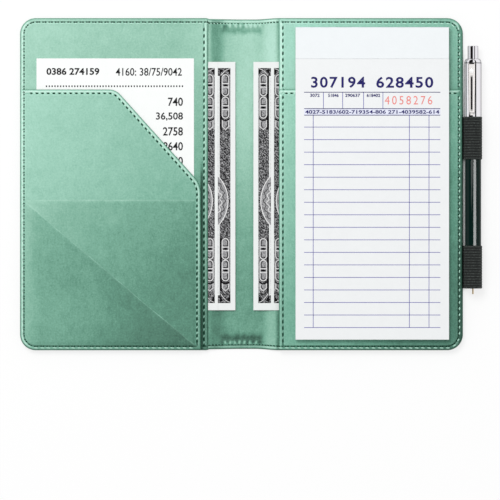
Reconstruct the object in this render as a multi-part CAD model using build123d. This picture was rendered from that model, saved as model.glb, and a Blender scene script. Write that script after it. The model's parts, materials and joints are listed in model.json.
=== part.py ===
from build123d import *
import os
from math import cos, pi, sin

# A server book lying open, face up: two boarded covers and a soft spine, sewn pockets on both
# halves, two elastic pen loops, and what it holds: check pad, receipt, banknotes and a click pen.
# +Y is the top of the pages, +X the pen side, +Z up from the table. The origin is the middle of
# the whole object's base. Sizes are in millimetres.

# The open book
book_width = 260.0
book_height = 195.0
corner_radius = 9.3
spine_width = 9.4
crease_height = 3.6  # the fold axes' height over the table, in the middle of the layers

# Sheet materials
skin_thickness = 0.8
board_thickness = 1.2
lining_thickness = 0.4
leather_thickness = 0.7
raw_layer_thickness = 0.45
note_thickness = 0.15
receipt_thickness = 0.12
card_thickness = 0.6
check_thickness = 0.12
layer_gap = 0.1  # air between loose sheets

# Sewn edges
seam_width = 3.6  # from the outline to the pockets' inside and to the boards
edge_reveal = 0.5  # the skin's turned edge that shows round the inner sheets
board_gap = 0.1
edge_round = 0.25
stitch_inset = 2.35  # from the book's outline to the seam through all its layers
hem_inset = 2.3  # from a hemmed edge to its own seam
groove_width = 0.9
groove_depth = 0.2

# Flaps, the banknote pockets, each ending short of its crease
front_fold_room = 15.0
back_fold_room = 17.3
board_past_flap = 1.2
slope_width = 7.0

# Receipt pocket and the two raw edged layers on it
pocket_side_gap = 4.2  # from its side to the flap's edge
pocket_height = 153.0
pocket_cut_width = 49.9
pocket_cut_height = 97.5
pocket_top_round = 9.0
pocket_side_round = 14.0
pocket_side_seam = 3.2
raw_layer_inset = 3.1  # from the seams' side, so that the layers lie inside the stitches
card_pocket_height = 88.4
corner_pocket_drop = 0.8

# Receipt
receipt_length = 149.0
receipt_side_gap = 0.8
receipt_left_gap = 6.1
receipt_out = 18.3  # how far it stands out of its pocket

# Banknotes
note_width = 62.0
note_length = 145.8
note_shift_y = -1.1
front_under_reveal = 16.1
front_upper_reveal = 5.8
back_under_reveal = 15.0
back_upper_reveal = 4.7

# Check pad
pad_left_gap = 9.7
pad_right_gap = 8.3
pad_top_gap = 5.8
pad_bottom_gap = 6.3
pad_stub_length = 18.2
sheets_thickness = 3.0
card_short = 1.5
glue_thickness = 0.3
perforation_gap = 0.1

# Pen
pen_radius = 5.0
lower_barrel_radius = 4.87
barrel_wall = 0.8
pen_top_gap = 16.4  # from the top of the book down to the button's end
button_radius = 3.1
button_stands_out = 7.6
button_travel = 5.0
button_flange_radius = 3.9
button_flange_length = 1.8
button_chamfer = 0.4
collar_length = 2.6
collar_radius = 4.35
collar_plug_length = 3.0
upper_barrel_length = 43.9
spigot_length = 8.0
lower_barrel_length = 66.0
nose_length = 22.4
nose_end_radius = 1.6
nose_wall = 1.0
spring_seat_length = 9.0
running_gap = 0.15
screw_gap = 0.03
cam_length = 9.0
cam_radius = 2.4
refill_radius = 1.5
refill_tip_length = 20.0
refill_tip_radius = 1.15
refill_tip_out = 3.1
point_radius = 0.4
flange_radius = 1.95
flange_length = 1.0
spring_mean_radius = 1.8
spring_wire = 0.3
spring_turns = 6
steps_per_turn = 12

# Pen clip
clip_width = 4.2
clip_thickness = 0.5
clip_length = 30.6
clip_root_length = 4.5
clip_lift = 1.1
clip_foot_length = 3.0
clip_dot_radius = 1.2
clip_slot_width = 0.6
clip_turn = 8.0  # degrees that the pen lies turned, so that its clip leans towards the book

# Pen loops
loop_length = 25.2
elastic_thickness = 0.5
loop_table_gap = 0.2
loop_book_gap = 0.1
upper_loop_drop = 70.5  # from the top of the book to the loop's middle
loop_spacing = 75.65
loop_tab_thickness = 0.7
loop_tab_depth = 3.3

# Heights of the layers
skin_top = skin_thickness
board_top = skin_top + board_thickness
lining_top = board_top + lining_thickness
under_note_low = lining_top + layer_gap
upper_note_low = under_note_low + note_thickness + layer_gap
flap_low = upper_note_low + note_thickness + layer_gap
flap_top = flap_low + leather_thickness
receipt_low = flap_top + layer_gap
receipt_pocket_low = receipt_low + receipt_thickness + layer_gap
receipt_pocket_top = receipt_pocket_low + leather_thickness
card_pocket_top = receipt_pocket_top + raw_layer_thickness
corner_pocket_top = card_pocket_top + raw_layer_thickness
pad_card_low = flap_top + layer_gap
pad_card_top = pad_card_low + card_thickness
pad_pocket_low = pad_card_top + layer_gap
pad_pocket_top = pad_pocket_low + leather_thickness
sheets_low = pad_pocket_top + layer_gap
sheets_top = sheets_low + sheets_thickness
check_low = sheets_top + layer_gap
check_top = check_low + check_thickness

# Places across and along the book
loop_inner_radius = pen_radius + running_gap
loop_outer_radius = loop_inner_radius + elastic_thickness
loop_reach = loop_book_gap + 2 * loop_outer_radius
book_x = -loop_reach / 2
left_edge = book_x - book_width / 2
right_edge = book_x + book_width / 2
top_edge = book_height / 2
bottom_edge = -book_height / 2
left_crease = book_x - spine_width / 2
right_crease = book_x + spine_width / 2
front_flap_edge = left_crease - front_fold_room
back_flap_edge = right_crease + back_fold_room
front_board_end = front_flap_edge + board_past_flap
back_board_end = back_flap_edge - board_past_flap
pocket_top = bottom_edge + pocket_height
pocket_right = front_flap_edge - pocket_side_gap
pocket_cut_x = pocket_right - pocket_cut_width
upper_loop_y = top_edge - upper_loop_drop
lower_loop_y = upper_loop_y - loop_spacing
pen_x = right_edge + loop_book_gap + loop_outer_radius
pen_z = loop_table_gap + loop_outer_radius

# Places along the pen
button_end = top_edge - pen_top_gap
collar_end = button_end - button_stands_out
barrel_end = collar_end - collar_length
barrel_joint = barrel_end - upper_barrel_length
nose_start = barrel_joint - lower_barrel_length
nose_end = nose_start - nose_length
bore_radius = pen_radius - barrel_wall
far = 2 * (book_width + book_height)

parts = {}


def keep(name, shape):
    """Add a finished piece under its node name."""
    parts[name] = shape


def block(x_low, x_high, y_low, y_high, z_low, z_high):
    """A box between two corners."""
    middle = ((x_low + x_high) / 2, (y_low + y_high) / 2, (z_low + z_high) / 2)
    return Pos(*middle) * Box(x_high - x_low, y_high - y_low, z_high - z_low)


def book_outline(inset):
    """The whole book's rounded outline, drawn in all round."""
    width = book_width - 2 * inset
    height = book_height - 2 * inset
    return Pos(book_x, 0) * RectangleRounded(width, height, corner_radius - inset)


def strip(x_low, x_high, y_low=-far, y_high=far):
    """A flat rectangle that cuts a stretch out of an outline."""
    middle = ((x_low + x_high) / 2, (y_low + y_high) / 2)
    return Pos(*middle) * Rectangle(x_high - x_low, y_high - y_low)


def sheet(outline, z_low, z_high):
    """A flat outline given a thickness."""
    return extrude(Pos(0, 0, z_low) * outline, z_high - z_low)


def inside_stitches(hems, shift):
    """The flat region within a sheet's stitches, drawn in by a shift."""
    return book_outline(stitch_inset + shift) & offset(hems, -(hem_inset + shift))


def stitched_sheet(hems, z_low, z_high):
    """A leather sheet with a rounded upper edge and a stitch groove all round. It reaches the book's
    turned edge and, where the flat region of its hems ends, a hem with a seam of its own."""
    body = sheet(book_outline(edge_reveal) & hems, z_low, z_high)
    rim = body.faces().sort_by(Axis.Z)[-1].edges()
    body = fillet(rim, edge_round)
    groove = inside_stitches(hems, -groove_width / 2) - inside_stitches(hems, groove_width / 2)
    return body - sheet(groove, z_high - groove_depth, z_high + groove_depth)


# Cover halves: skin, board and lining

def half(side):
    """The outer edge, board end and crease of one cover: front is -1, back is +1."""
    if side < 0:
        return left_edge, front_board_end, left_crease
    return right_edge, back_board_end, right_crease


def under_lining(side, rise):
    """The cross-section points that the lining follows, from the outer edge to the crease."""
    outer, board_end, crease = half(side)
    slope_end = board_end - side * slope_width
    return [
        (outer, board_top + rise),
        (board_end, board_top + rise),
        (slope_end, skin_top + rise),
        (crease, skin_top + rise),
    ]


def across(points):
    """A cross-section over the book's width, run along its whole height."""
    face = make_face(Polyline(*points, close=True))
    return extrude(Plane.XZ * face, book_height, both=True)


def cover_lining(side):
    """The inner sheet: flat on the board, then down a slope to the soft spine."""
    outer, board_end, crease = half(side)
    bent = across(under_lining(side, 0) + under_lining(side, lining_thickness)[::-1])
    outline = book_outline(edge_reveal) & strip(min(outer, crease), max(outer, crease))
    return bent & sheet(outline, 0, flap_top)


def cover_board(side):
    """The stiff board between skin and lining, clear of the seam."""
    outer, board_end, crease = half(side)
    outline = book_outline(seam_width + board_gap) & strip(min(outer, board_end), max(outer, board_end))
    return sheet(outline, skin_top, board_top)


def cover_skin(side):
    """The outer leather: a flat sheet with its edge turned in and built up round the board."""
    outer, board_end, crease = half(side)
    span = strip(min(outer, crease), max(outer, crease))
    flat = sheet(book_outline(0) & span, 0, skin_top)
    filled = across([(outer, 0), *under_lining(side, 0), (crease, 0)])
    turned_edge = filled & sheet((book_outline(0) - book_outline(seam_width)) & span, 0, board_top)
    skin = flat + turned_edge
    return skin - sheet(seam_line() & span, -groove_depth, groove_depth)


def seam_line():
    """The flat ring of the stitch groove round the whole book."""
    outer = book_outline(stitch_inset - groove_width / 2)
    return outer - book_outline(stitch_inset + groove_width / 2)


def loop_slots():
    """The places in the seam that the loops' ends lie in."""
    slots = [
        block(
            right_edge - loop_tab_depth, right_edge + loop_tab_depth,
            y - loop_length / 2, y + loop_length / 2,
            board_top - loop_tab_thickness, board_top,
        )
        for y in (upper_loop_y, lower_loop_y)
    ]
    return slots[0] + slots[1]


keep("front_cover_skin", cover_skin(-1))
keep("front_cover_board", cover_board(-1))
keep("front_cover_lining", cover_lining(-1))
keep("back_cover_skin", cover_skin(1) - loop_slots())
keep("back_cover_board", cover_board(1))
keep("back_cover_lining", cover_lining(1))

# Soft spine between the creases

spine_span = strip(left_crease, right_crease)
spine_skin = sheet(book_outline(0) & spine_span, 0, skin_top)
keep("spine_skin", spine_skin - sheet(seam_line() & spine_span, -groove_depth, groove_depth))
spine_lining = sheet(book_outline(edge_reveal) & spine_span, skin_top, skin_top + lining_thickness)
keep("spine_lining", spine_lining)

# Flaps: sewn to the lining along three sides and open towards the spine


def flap(hems):
    """A hemmed sheet with the sewn seam under its outer edges."""
    seam = book_outline(edge_reveal) & hems - book_outline(seam_width)
    return stitched_sheet(hems, flap_low, flap_top) + sheet(seam, lining_top, flap_low)


keep("front_flap", flap(strip(-far, front_flap_edge)))
keep("back_flap", flap(strip(back_flap_edge, far)))

# Receipt pocket with its cut corner, and the two raw edged layers on it

cut_corner = make_face(
    Polyline(
        (-far, -far),
        (-far, pocket_top),
        (pocket_cut_x, pocket_top),
        (pocket_right, bottom_edge + pocket_cut_height),
        (pocket_right, -far),
        close=True,
    )
)
cut_top = cut_corner.vertices().sort_by_distance((pocket_cut_x, pocket_top, 0))[0]
cut_corner = fillet(cut_top, pocket_top_round)
cut_side = cut_corner.vertices().sort_by_distance((pocket_right, bottom_edge + pocket_cut_height, 0))[0]
cut_corner = fillet(cut_side, pocket_side_round)
receipt_outline = book_outline(edge_reveal) & cut_corner
receipt_room = strip(left_edge + seam_width, pocket_right - pocket_side_seam, bottom_edge + seam_width, far)
receipt_seam = sheet(receipt_outline - receipt_room, flap_top, receipt_pocket_low)
receipt_pocket = stitched_sheet(cut_corner, receipt_pocket_low, receipt_pocket_top)
keep("receipt_pocket", receipt_pocket + receipt_seam)

layer_right = pocket_right - raw_layer_inset
layer_left = left_edge + raw_layer_inset
layer_bottom = bottom_edge + raw_layer_inset
card_pocket_top_y = bottom_edge + card_pocket_height
card_outline = book_outline(raw_layer_inset) & strip(left_edge, layer_right, bottom_edge, card_pocket_top_y)
keep("card_pocket", sheet(card_outline, receipt_pocket_top, card_pocket_top))
triangle = make_face(
    Polyline(
        (layer_left, layer_bottom),
        (layer_left, card_pocket_top_y - corner_pocket_drop),
        (layer_right, layer_bottom),
        close=True,
    )
)
keep("corner_pocket", sheet(card_outline & triangle, card_pocket_top, corner_pocket_top))

# Pad pocket, sewn to the back flap along its sides and foot

pad_hems = strip(back_flap_edge, far, -far, pocket_top)
pad_outline = book_outline(edge_reveal) & pad_hems
pad_room = strip(back_flap_edge + seam_width, right_edge - seam_width, bottom_edge + seam_width, far)
pad_seam = sheet(pad_outline - pad_room, flap_top, pad_pocket_low)
keep("pad_pocket", stitched_sheet(pad_hems, pad_pocket_low, pad_pocket_top) + pad_seam)

# Pen loops: elastic tape round the pen, its two ends laid together into the seam


def pen_loop(y):
    """One loop of tape with its flat tab."""
    ring = Pos(pen_x, pen_z) * Circle(loop_outer_radius)
    tab_x_low = right_edge - loop_tab_depth
    tab_z = board_top - loop_tab_thickness / 2
    tab = Pos((tab_x_low + pen_x) / 2, tab_z) * Rectangle(pen_x - tab_x_low, loop_tab_thickness)
    profile = ring + tab - Pos(pen_x, pen_z) * Circle(loop_inner_radius)
    return Pos(0, y, 0) * extrude(Plane.XZ * profile, loop_length / 2, both=True)


keep("pen_loop_upper", pen_loop(upper_loop_y))
keep("pen_loop_lower", pen_loop(lower_loop_y))

# Receipt and banknotes

receipt_left = left_edge + seam_width + receipt_left_gap
receipt_right = pocket_right - pocket_side_seam - receipt_side_gap
receipt_top = pocket_top + receipt_out
keep(
    "receipt",
    block(
        receipt_left, receipt_right,
        receipt_top - receipt_length, receipt_top,
        receipt_low, receipt_low + receipt_thickness,
    ),
)


def note(inner_edge, side, z_low):
    """A banknote that lies across the open side of a flap, its inner edge towards the spine."""
    outer_end = inner_edge + side * note_width
    return block(
        min(inner_edge, outer_end), max(inner_edge, outer_end),
        note_shift_y - note_length / 2, note_shift_y + note_length / 2,
        z_low, z_low + note_thickness,
    )


keep("front_note_under", note(front_flap_edge + front_under_reveal, -1, under_note_low))
keep("front_note_upper", note(front_flap_edge + front_upper_reveal, -1, upper_note_low))
keep("back_note_under", note(back_flap_edge - back_under_reveal, 1, under_note_low))
keep("back_note_upper", note(back_flap_edge - back_upper_reveal, 1, upper_note_low))

# Check pad: the card goes behind the pocket, the leaves stay in front, bound at the stub

pad_left = back_flap_edge + pad_left_gap
pad_right = right_edge - pad_right_gap
pad_top = top_edge - pad_top_gap
pad_bottom = bottom_edge + pad_bottom_gap
stub_end = pad_top - pad_stub_length
leaf_top = stub_end - perforation_gap
keep(
    "pad_backing_card",
    block(pad_left, pad_right, pad_bottom + card_short, pad_top, pad_card_low, pad_card_top),
)
keep("pad_stub", block(pad_left, pad_right, stub_end, pad_top, pad_card_top, check_top))
keep("pad_sheets", block(pad_left, pad_right, pad_bottom, stub_end, sheets_low, sheets_top))
keep("top_check", block(pad_left, pad_right, pad_bottom, leaf_top, check_low, check_top))
keep(
    "pad_glue_strip",
    block(pad_left, pad_right, pad_top, pad_top + glue_thickness, pad_card_low, check_top),
)

# Click pen, turned about an axis along Y


def turned(*points):
    """A solid of revolution from points of radius and place along the pen."""
    face = make_face(Polyline(*[(pen_x + radius, y) for radius, y in points], close=True))
    return revolve(Pos(0, 0, pen_z) * face, Axis((pen_x, 0, pen_z), (0, 1, 0)))


collar_plug_end = barrel_end - collar_plug_length
collar_bore = button_radius + running_gap
plug_radius = bore_radius - screw_gap
keep(
    "pen_collar",
    turned(
        (collar_bore, collar_plug_end),
        (plug_radius, collar_plug_end),
        (plug_radius, barrel_end),
        (pen_radius, barrel_end),
        (collar_radius, barrel_end + collar_length / 2),
        (collar_bore + running_gap, collar_end),
        (collar_bore, collar_end),
    ),
)
keep(
    "pen_upper_barrel",
    turned(
        (bore_radius, barrel_joint),
        (pen_radius, barrel_joint),
        (pen_radius, barrel_end),
        (bore_radius, barrel_end),
    ),
)
lower_bore = lower_barrel_radius - barrel_wall - running_gap
spigot_bore = bore_radius - barrel_wall
keep(
    "pen_lower_barrel",
    turned(
        (lower_bore, nose_start),
        (lower_barrel_radius, nose_start),
        (lower_barrel_radius, barrel_joint),
        (plug_radius, barrel_joint),
        (plug_radius, barrel_joint + spigot_length),
        (spigot_bore, barrel_joint + spigot_length),
        (spigot_bore, barrel_joint),
        (lower_bore, barrel_joint),
    ),
)
nose_bore = refill_tip_radius + running_gap
spring_seat = nose_end + spring_seat_length
spring_room = flange_radius + running_gap
keep(
    "pen_nose_cone",
    turned(
        (nose_bore, nose_end),
        (nose_end_radius, nose_end),
        (lower_barrel_radius - nose_wall, spring_seat),
        (lower_barrel_radius, nose_start),
        (spring_room, nose_start),
        (spring_room, spring_seat),
        (nose_bore, spring_seat),
    ),
)

flange_top = collar_plug_end - button_travel - running_gap
flange_low = flange_top - button_flange_length
button = turned(
    (0, flange_low),
    (button_flange_radius, flange_low),
    (button_flange_radius, flange_top),
    (button_radius, flange_top),
    (button_radius, button_end),
    (0, button_end),
)
keep("pen_button", chamfer(button.faces().sort_by(Axis.Y)[-1].edges(), button_chamfer))

cam_top = flange_low - running_gap
cam_low = cam_top - cam_length
keep("pen_cam", turned((0, cam_low), (cam_radius, cam_low), (cam_radius, cam_top), (0, cam_top)))
point_end = nose_end - refill_tip_out
tip_shoulder = nose_end + point_radius
tip_top = tip_shoulder + refill_tip_length
flange_start = tip_top + flange_length
keep(
    "pen_refill",
    turned(
        (0, tip_top),
        (flange_radius, tip_top),
        (flange_radius, flange_start),
        (refill_radius, flange_start),
        (refill_radius, cam_low),
        (0, cam_low),
    ),
)
keep(
    "pen_refill_tip",
    turned(
        (0, point_end),
        (point_radius, point_end),
        (point_radius, nose_end - point_radius),
        (refill_tip_radius, tip_shoulder + button_travel),
        (refill_tip_radius, tip_top),
        (0, tip_top),
    ),
)

# Pen clip: a sprung strip that stands off the barrel, with a foot at its end

clip_base = pen_z + pen_radius + running_gap
clip_top = clip_base + clip_lift + clip_thickness
clip_start = barrel_end
clip_end = clip_start - clip_length
clip_side = make_face(
    Polyline(
        (clip_start, clip_base),
        (clip_start, clip_top - clip_thickness),
        (clip_start - clip_thickness, clip_top),
        (clip_end + clip_foot_length, clip_top),
        (clip_end, clip_base + clip_thickness),
        (clip_end, clip_base),
        (clip_end + clip_foot_length / 2, clip_base),
        (clip_end + clip_foot_length, clip_top - clip_thickness),
        (clip_start - clip_root_length, clip_top - clip_thickness),
        (clip_start - clip_root_length, clip_base),
        close=True,
    )
)
clip = Pos(pen_x, 0, 0) * extrude(Plane.YZ * clip_side, clip_width / 2, both=True)
clip_dot_y = clip_start - clip_root_length
dot = Pos(pen_x, clip_dot_y, clip_top) * Cylinder(clip_dot_radius, clip_thickness)
clip_slot = block(
    pen_x - clip_slot_width / 2, pen_x + clip_slot_width / 2,
    clip_end + clip_foot_length, clip_dot_y - 2 * clip_dot_radius,
    clip_top - clip_thickness / 2, clip_top + clip_thickness,
)
pen_axis = Axis((pen_x, 0, pen_z), (0, 1, 0))
keep("pen_clip", (clip + dot - clip_slot).rotate(pen_axis, -clip_turn))

# Refill spring: one unbroken coil between the nose cone's seat and the refill's flange

spring_low = spring_seat + spring_wire
spring_rise = (tip_top - spring_wire - spring_low) / spring_turns


def on_spring(step):
    """A point on the spring's centre line, so many steps from its lower end."""
    angle = 2 * pi * step / steps_per_turn
    place = Vector(spring_mean_radius * cos(angle), spring_rise * step / steps_per_turn)
    return place + Vector(pen_x, spring_low, pen_z + spring_mean_radius * sin(angle))


coil = Polyline(*[on_spring(step) for step in range(spring_turns * steps_per_turn + 1)])
wire = Plane(origin=coil @ 0, z_dir=coil % 0) * Rectangle(spring_wire, spring_wire)
keep("pen_spring", sweep(wire, path=coil, transition=Transition.RIGHT))

os.makedirs("parts", exist_ok=True)
for name, shape in parts.items():
    export_step(shape, "parts/" + name + ".step")
print(len(parts), "pieces")
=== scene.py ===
import bpy
import json
import math
import random
from functools import reduce
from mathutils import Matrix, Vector, kdtree, noise
from mathutils.geometry import delaunay_2d_cdt

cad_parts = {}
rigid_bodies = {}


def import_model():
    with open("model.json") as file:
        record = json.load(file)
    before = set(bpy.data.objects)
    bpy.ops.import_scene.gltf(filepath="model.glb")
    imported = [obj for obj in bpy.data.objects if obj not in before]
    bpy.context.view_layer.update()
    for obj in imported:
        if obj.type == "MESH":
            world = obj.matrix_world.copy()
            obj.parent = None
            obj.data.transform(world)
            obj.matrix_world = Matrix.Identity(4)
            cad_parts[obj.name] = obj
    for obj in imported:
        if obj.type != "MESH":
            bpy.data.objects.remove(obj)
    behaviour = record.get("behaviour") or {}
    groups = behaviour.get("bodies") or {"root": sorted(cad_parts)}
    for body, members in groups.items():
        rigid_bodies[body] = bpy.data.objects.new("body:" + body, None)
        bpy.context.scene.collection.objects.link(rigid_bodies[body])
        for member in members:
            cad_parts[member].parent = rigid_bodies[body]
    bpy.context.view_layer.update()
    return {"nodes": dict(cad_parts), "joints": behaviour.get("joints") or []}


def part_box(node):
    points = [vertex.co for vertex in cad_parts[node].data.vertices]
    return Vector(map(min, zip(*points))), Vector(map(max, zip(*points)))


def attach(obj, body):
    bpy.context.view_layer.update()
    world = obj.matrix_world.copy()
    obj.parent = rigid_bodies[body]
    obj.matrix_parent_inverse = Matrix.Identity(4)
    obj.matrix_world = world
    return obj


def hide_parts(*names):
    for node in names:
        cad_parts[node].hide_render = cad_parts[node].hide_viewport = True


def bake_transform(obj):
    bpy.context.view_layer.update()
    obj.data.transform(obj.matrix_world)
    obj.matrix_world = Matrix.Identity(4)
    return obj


# A server book lying open: leather sheets over boards, stitches, papers, elastic loops and a pen.
# Lengths are in millimetres up to the point where a mesh is made, which is in metres.

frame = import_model()
MM = 0.001
UV_SPAN = 100.0  # millimetres to one unit of the leather's flat coordinates


class Span:
    """A CAD node's box at rest, in millimetres."""

    def __init__(self, node):
        low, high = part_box(node)
        self.node = node
        self.left, self.bottom, self.low = [value / MM for value in low]
        self.right, self.top, self.high = [value / MM for value in high]


front_skin, spine_skin = Span("front_cover_skin"), Span("spine_skin")
front_board, back_board = Span("front_cover_board"), Span("back_cover_board")
front_lining, back_lining = Span("front_cover_lining"), Span("back_cover_lining")
front_flap, back_flap = Span("front_flap"), Span("back_flap")
receipt_pocket, pad_pocket = Span("receipt_pocket"), Span("pad_pocket")
card_pocket, corner_pocket = Span("card_pocket"), Span("corner_pocket")
receipt, pad_card = Span("receipt"), Span("pad_backing_card")
top_check, pad_sheets = Span("top_check"), Span("pad_sheets")

CORNER = 9.3  # the covers' corner radius
REVEAL = 0.5  # how far the lining and the flaps stay inside the skin's edge
SLOPE = 7.0  # the width of the lining's slope from a board down to the spine
EDGE_STEP = 0.95  # the spacing of points along a leather edge
book_left, book_right = front_skin.left, back_flap.right + REVEAL
book_bottom, book_top = front_skin.bottom, front_skin.top
book_middle = (spine_skin.left + spine_skin.right) / 2


# Outlines


def polar(reach, angle):
    return Vector((reach * math.cos(angle), reach * math.sin(angle)))


def left_of(way):
    """A direction turned a quarter to the left."""
    return Vector((-way.y, way.x))


def pairs(points, closed=True):
    """Each point with the one after it."""
    return list(zip(points, points[1:] + points[:1] if closed else points[1:]))


def arc(middle, reach, start=0.0, end=360.0, pieces=14):
    """Points along a part of a circle, or of an oval with a reach of (across, up), angles in degrees."""
    across, up = reach if isinstance(reach, tuple) else (reach, reach)
    angles = [math.radians(start + (end - start) * piece / pieces) for piece in range(pieces + 1)]
    return [(middle[0] + across * math.cos(angle), middle[1] + up * math.sin(angle)) for angle in angles]


def outline(corners, step=EDGE_STEP):
    """Points round a closed outline from corners of (x, y, radius), anticlockwise."""
    points = []
    for index, (x, y, radius) in enumerate(corners):
        here = Vector((x, y))
        if radius <= 0:
            points.append(here)
            continue
        before = (Vector(corners[index - 1][:2]) - here).normalized()
        after = (Vector(corners[(index + 1) % len(corners)][:2]) - here).normalized()
        half_angle = before.angle(after) / 2
        centre = here + (before + after).normalized() * radius / math.sin(half_angle)
        start = here + before * radius / math.tan(half_angle) - centre
        turn = math.copysign(math.pi - 2 * half_angle, -before.cross(after))
        pieces = max(2, math.ceil(abs(turn) * radius / step))
        first = math.atan2(start.y, start.x)
        points += [centre + polar(radius, first + turn * piece / pieces) for piece in range(pieces + 1)]
    full = []
    for here, after in pairs(points):
        length = (after - here).length
        if length > 1e-6:
            pieces = max(1, round(length / step))
            full += [here.lerp(after, piece / pieces) for piece in range(pieces)]
    return full


def rectangle(left, right, bottom, top, radii, step=EDGE_STEP):
    """A box's outline, with a radius for each corner from the lower left one on, anticlockwise."""
    corners = (left, bottom), (right, bottom), (right, top), (left, top)
    return outline([(x, y, radius) for (x, y), radius in zip(corners, radii)], step)


def by_side(side, outer, inner):
    """A rectangle's radii for the front cover, side -1, or the back cover, side 1."""
    return (outer, inner, inner, outer) if side < 0 else (inner, outer, outer, inner)


def opened(line, x, reach):
    """A closed line without its stretch at x, as an open one."""
    kept = [point for point in line if abs(point.x - x) > reach]
    split = max(range(len(kept)), key=lambda i: (kept[i] - kept[i - 1]).length)
    return kept[split:] + kept[:split]


def tree_at(points):
    """A search tree of flat places."""
    tree = kdtree.KDTree(len(points))
    for index, point in enumerate(points):
        tree.insert((point.x, point.y, 0), index)
    tree.balance()
    return tree


def tree_along(line, closed=True, step=0.2):
    """A search tree of places spread along a line."""
    dense = []
    for here, after in pairs(line, closed):
        pieces = max(1, math.ceil((after - here).length / step))
        dense += [here.lerp(after, piece / pieces) for piece in range(pieces)]
    return tree_at(dense)


def away_from(tree, x, y):
    """The distance to a tree's nearest place."""
    return tree.find((x, y, 0))[2]


def drawn_in(points, depth, tree=None):
    """A closed outline moved inward by a depth, point for point. With the outline's tree, points that
    would cross at a sharp corner are gathered there."""
    count = len(points)
    moved = []
    for index, here in enumerate(points):
        into = (here - points[index - 1]).normalized()
        out = (points[(index + 1) % count] - here).normalized()
        inward = left_of(into + out).normalized()
        moved.append(here + inward * depth / max(0.35, inward.dot(left_of(out))))
    if not tree or depth < 0.3:
        return moved
    good = [away_from(tree, *point) > depth * 0.97 - 0.03 for point in moved]
    last_good = good.index(True)
    for step in range(last_good + 1, last_good + count + 1):
        index = step % count
        if good[index]:
            gap = (index - last_good) % count
            for between in range(1, gap):
                moved[(last_good + between) % count] = moved[last_good].lerp(moved[index], between / gap)
            last_good = index
    return moved


def walk(points, pitch, start):
    """Evenly pitched places along an open line: (point, direction)."""
    runs = [(here, after, (after - here).length) for here, after in pairs(points, closed=False)]
    total = sum(length for _, _, length in runs)
    number = max(1, round((total - start) / pitch))
    places, target, travelled = [], start, 0.0
    for here, after, length in runs:
        way = (after - here).normalized()
        while target <= travelled + length and len(places) < number:
            places.append((here + way * (target - travelled), way))
            target += (total - start) / number
        travelled += length
    return places


def inside(point, sides):
    """Whether a point lies inside a closed outline, given as pairs."""
    hit = False
    for b, a in sides:
        if (a.y > point.y) != (b.y > point.y):
            hit ^= point.x < (b.x - a.x) * (point.y - a.y) / (b.y - a.y) + a.x
    return hit


def book_depth(x, y):
    """How far a place lies inside the whole book's rounded outline."""
    across = abs(x - (book_left + book_right) / 2) - (book_right - book_left) / 2 + CORNER
    along = abs(y - (book_bottom + book_top) / 2) - (book_top - book_bottom) / 2 + CORNER
    outside = math.hypot(max(across, 0.0), max(along, 0.0))
    return CORNER - outside - min(max(across, along), 0.0)


def smooth(value, start, end):
    """0 before start, 1 after end, turning smoothly between them."""
    share = min(1.0, max(0.0, (value - start) / (end - start)))
    return share * share * (3 - 2 * share)


def bell(value, centre, width):
    """A smooth bump of height 1."""
    return math.exp(-(((value - centre) / width) ** 2))


def cloud(x, y, size, seed):
    """Smooth noise from -1 to 1 with features of about a size."""
    return noise.noise(Vector((x / size, y / size, seed)))


# Meshes


def linked(name, data):
    """A new object in the scene."""
    made = bpy.data.objects.new(name, data)
    bpy.context.scene.collection.objects.link(made)
    return made


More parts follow.
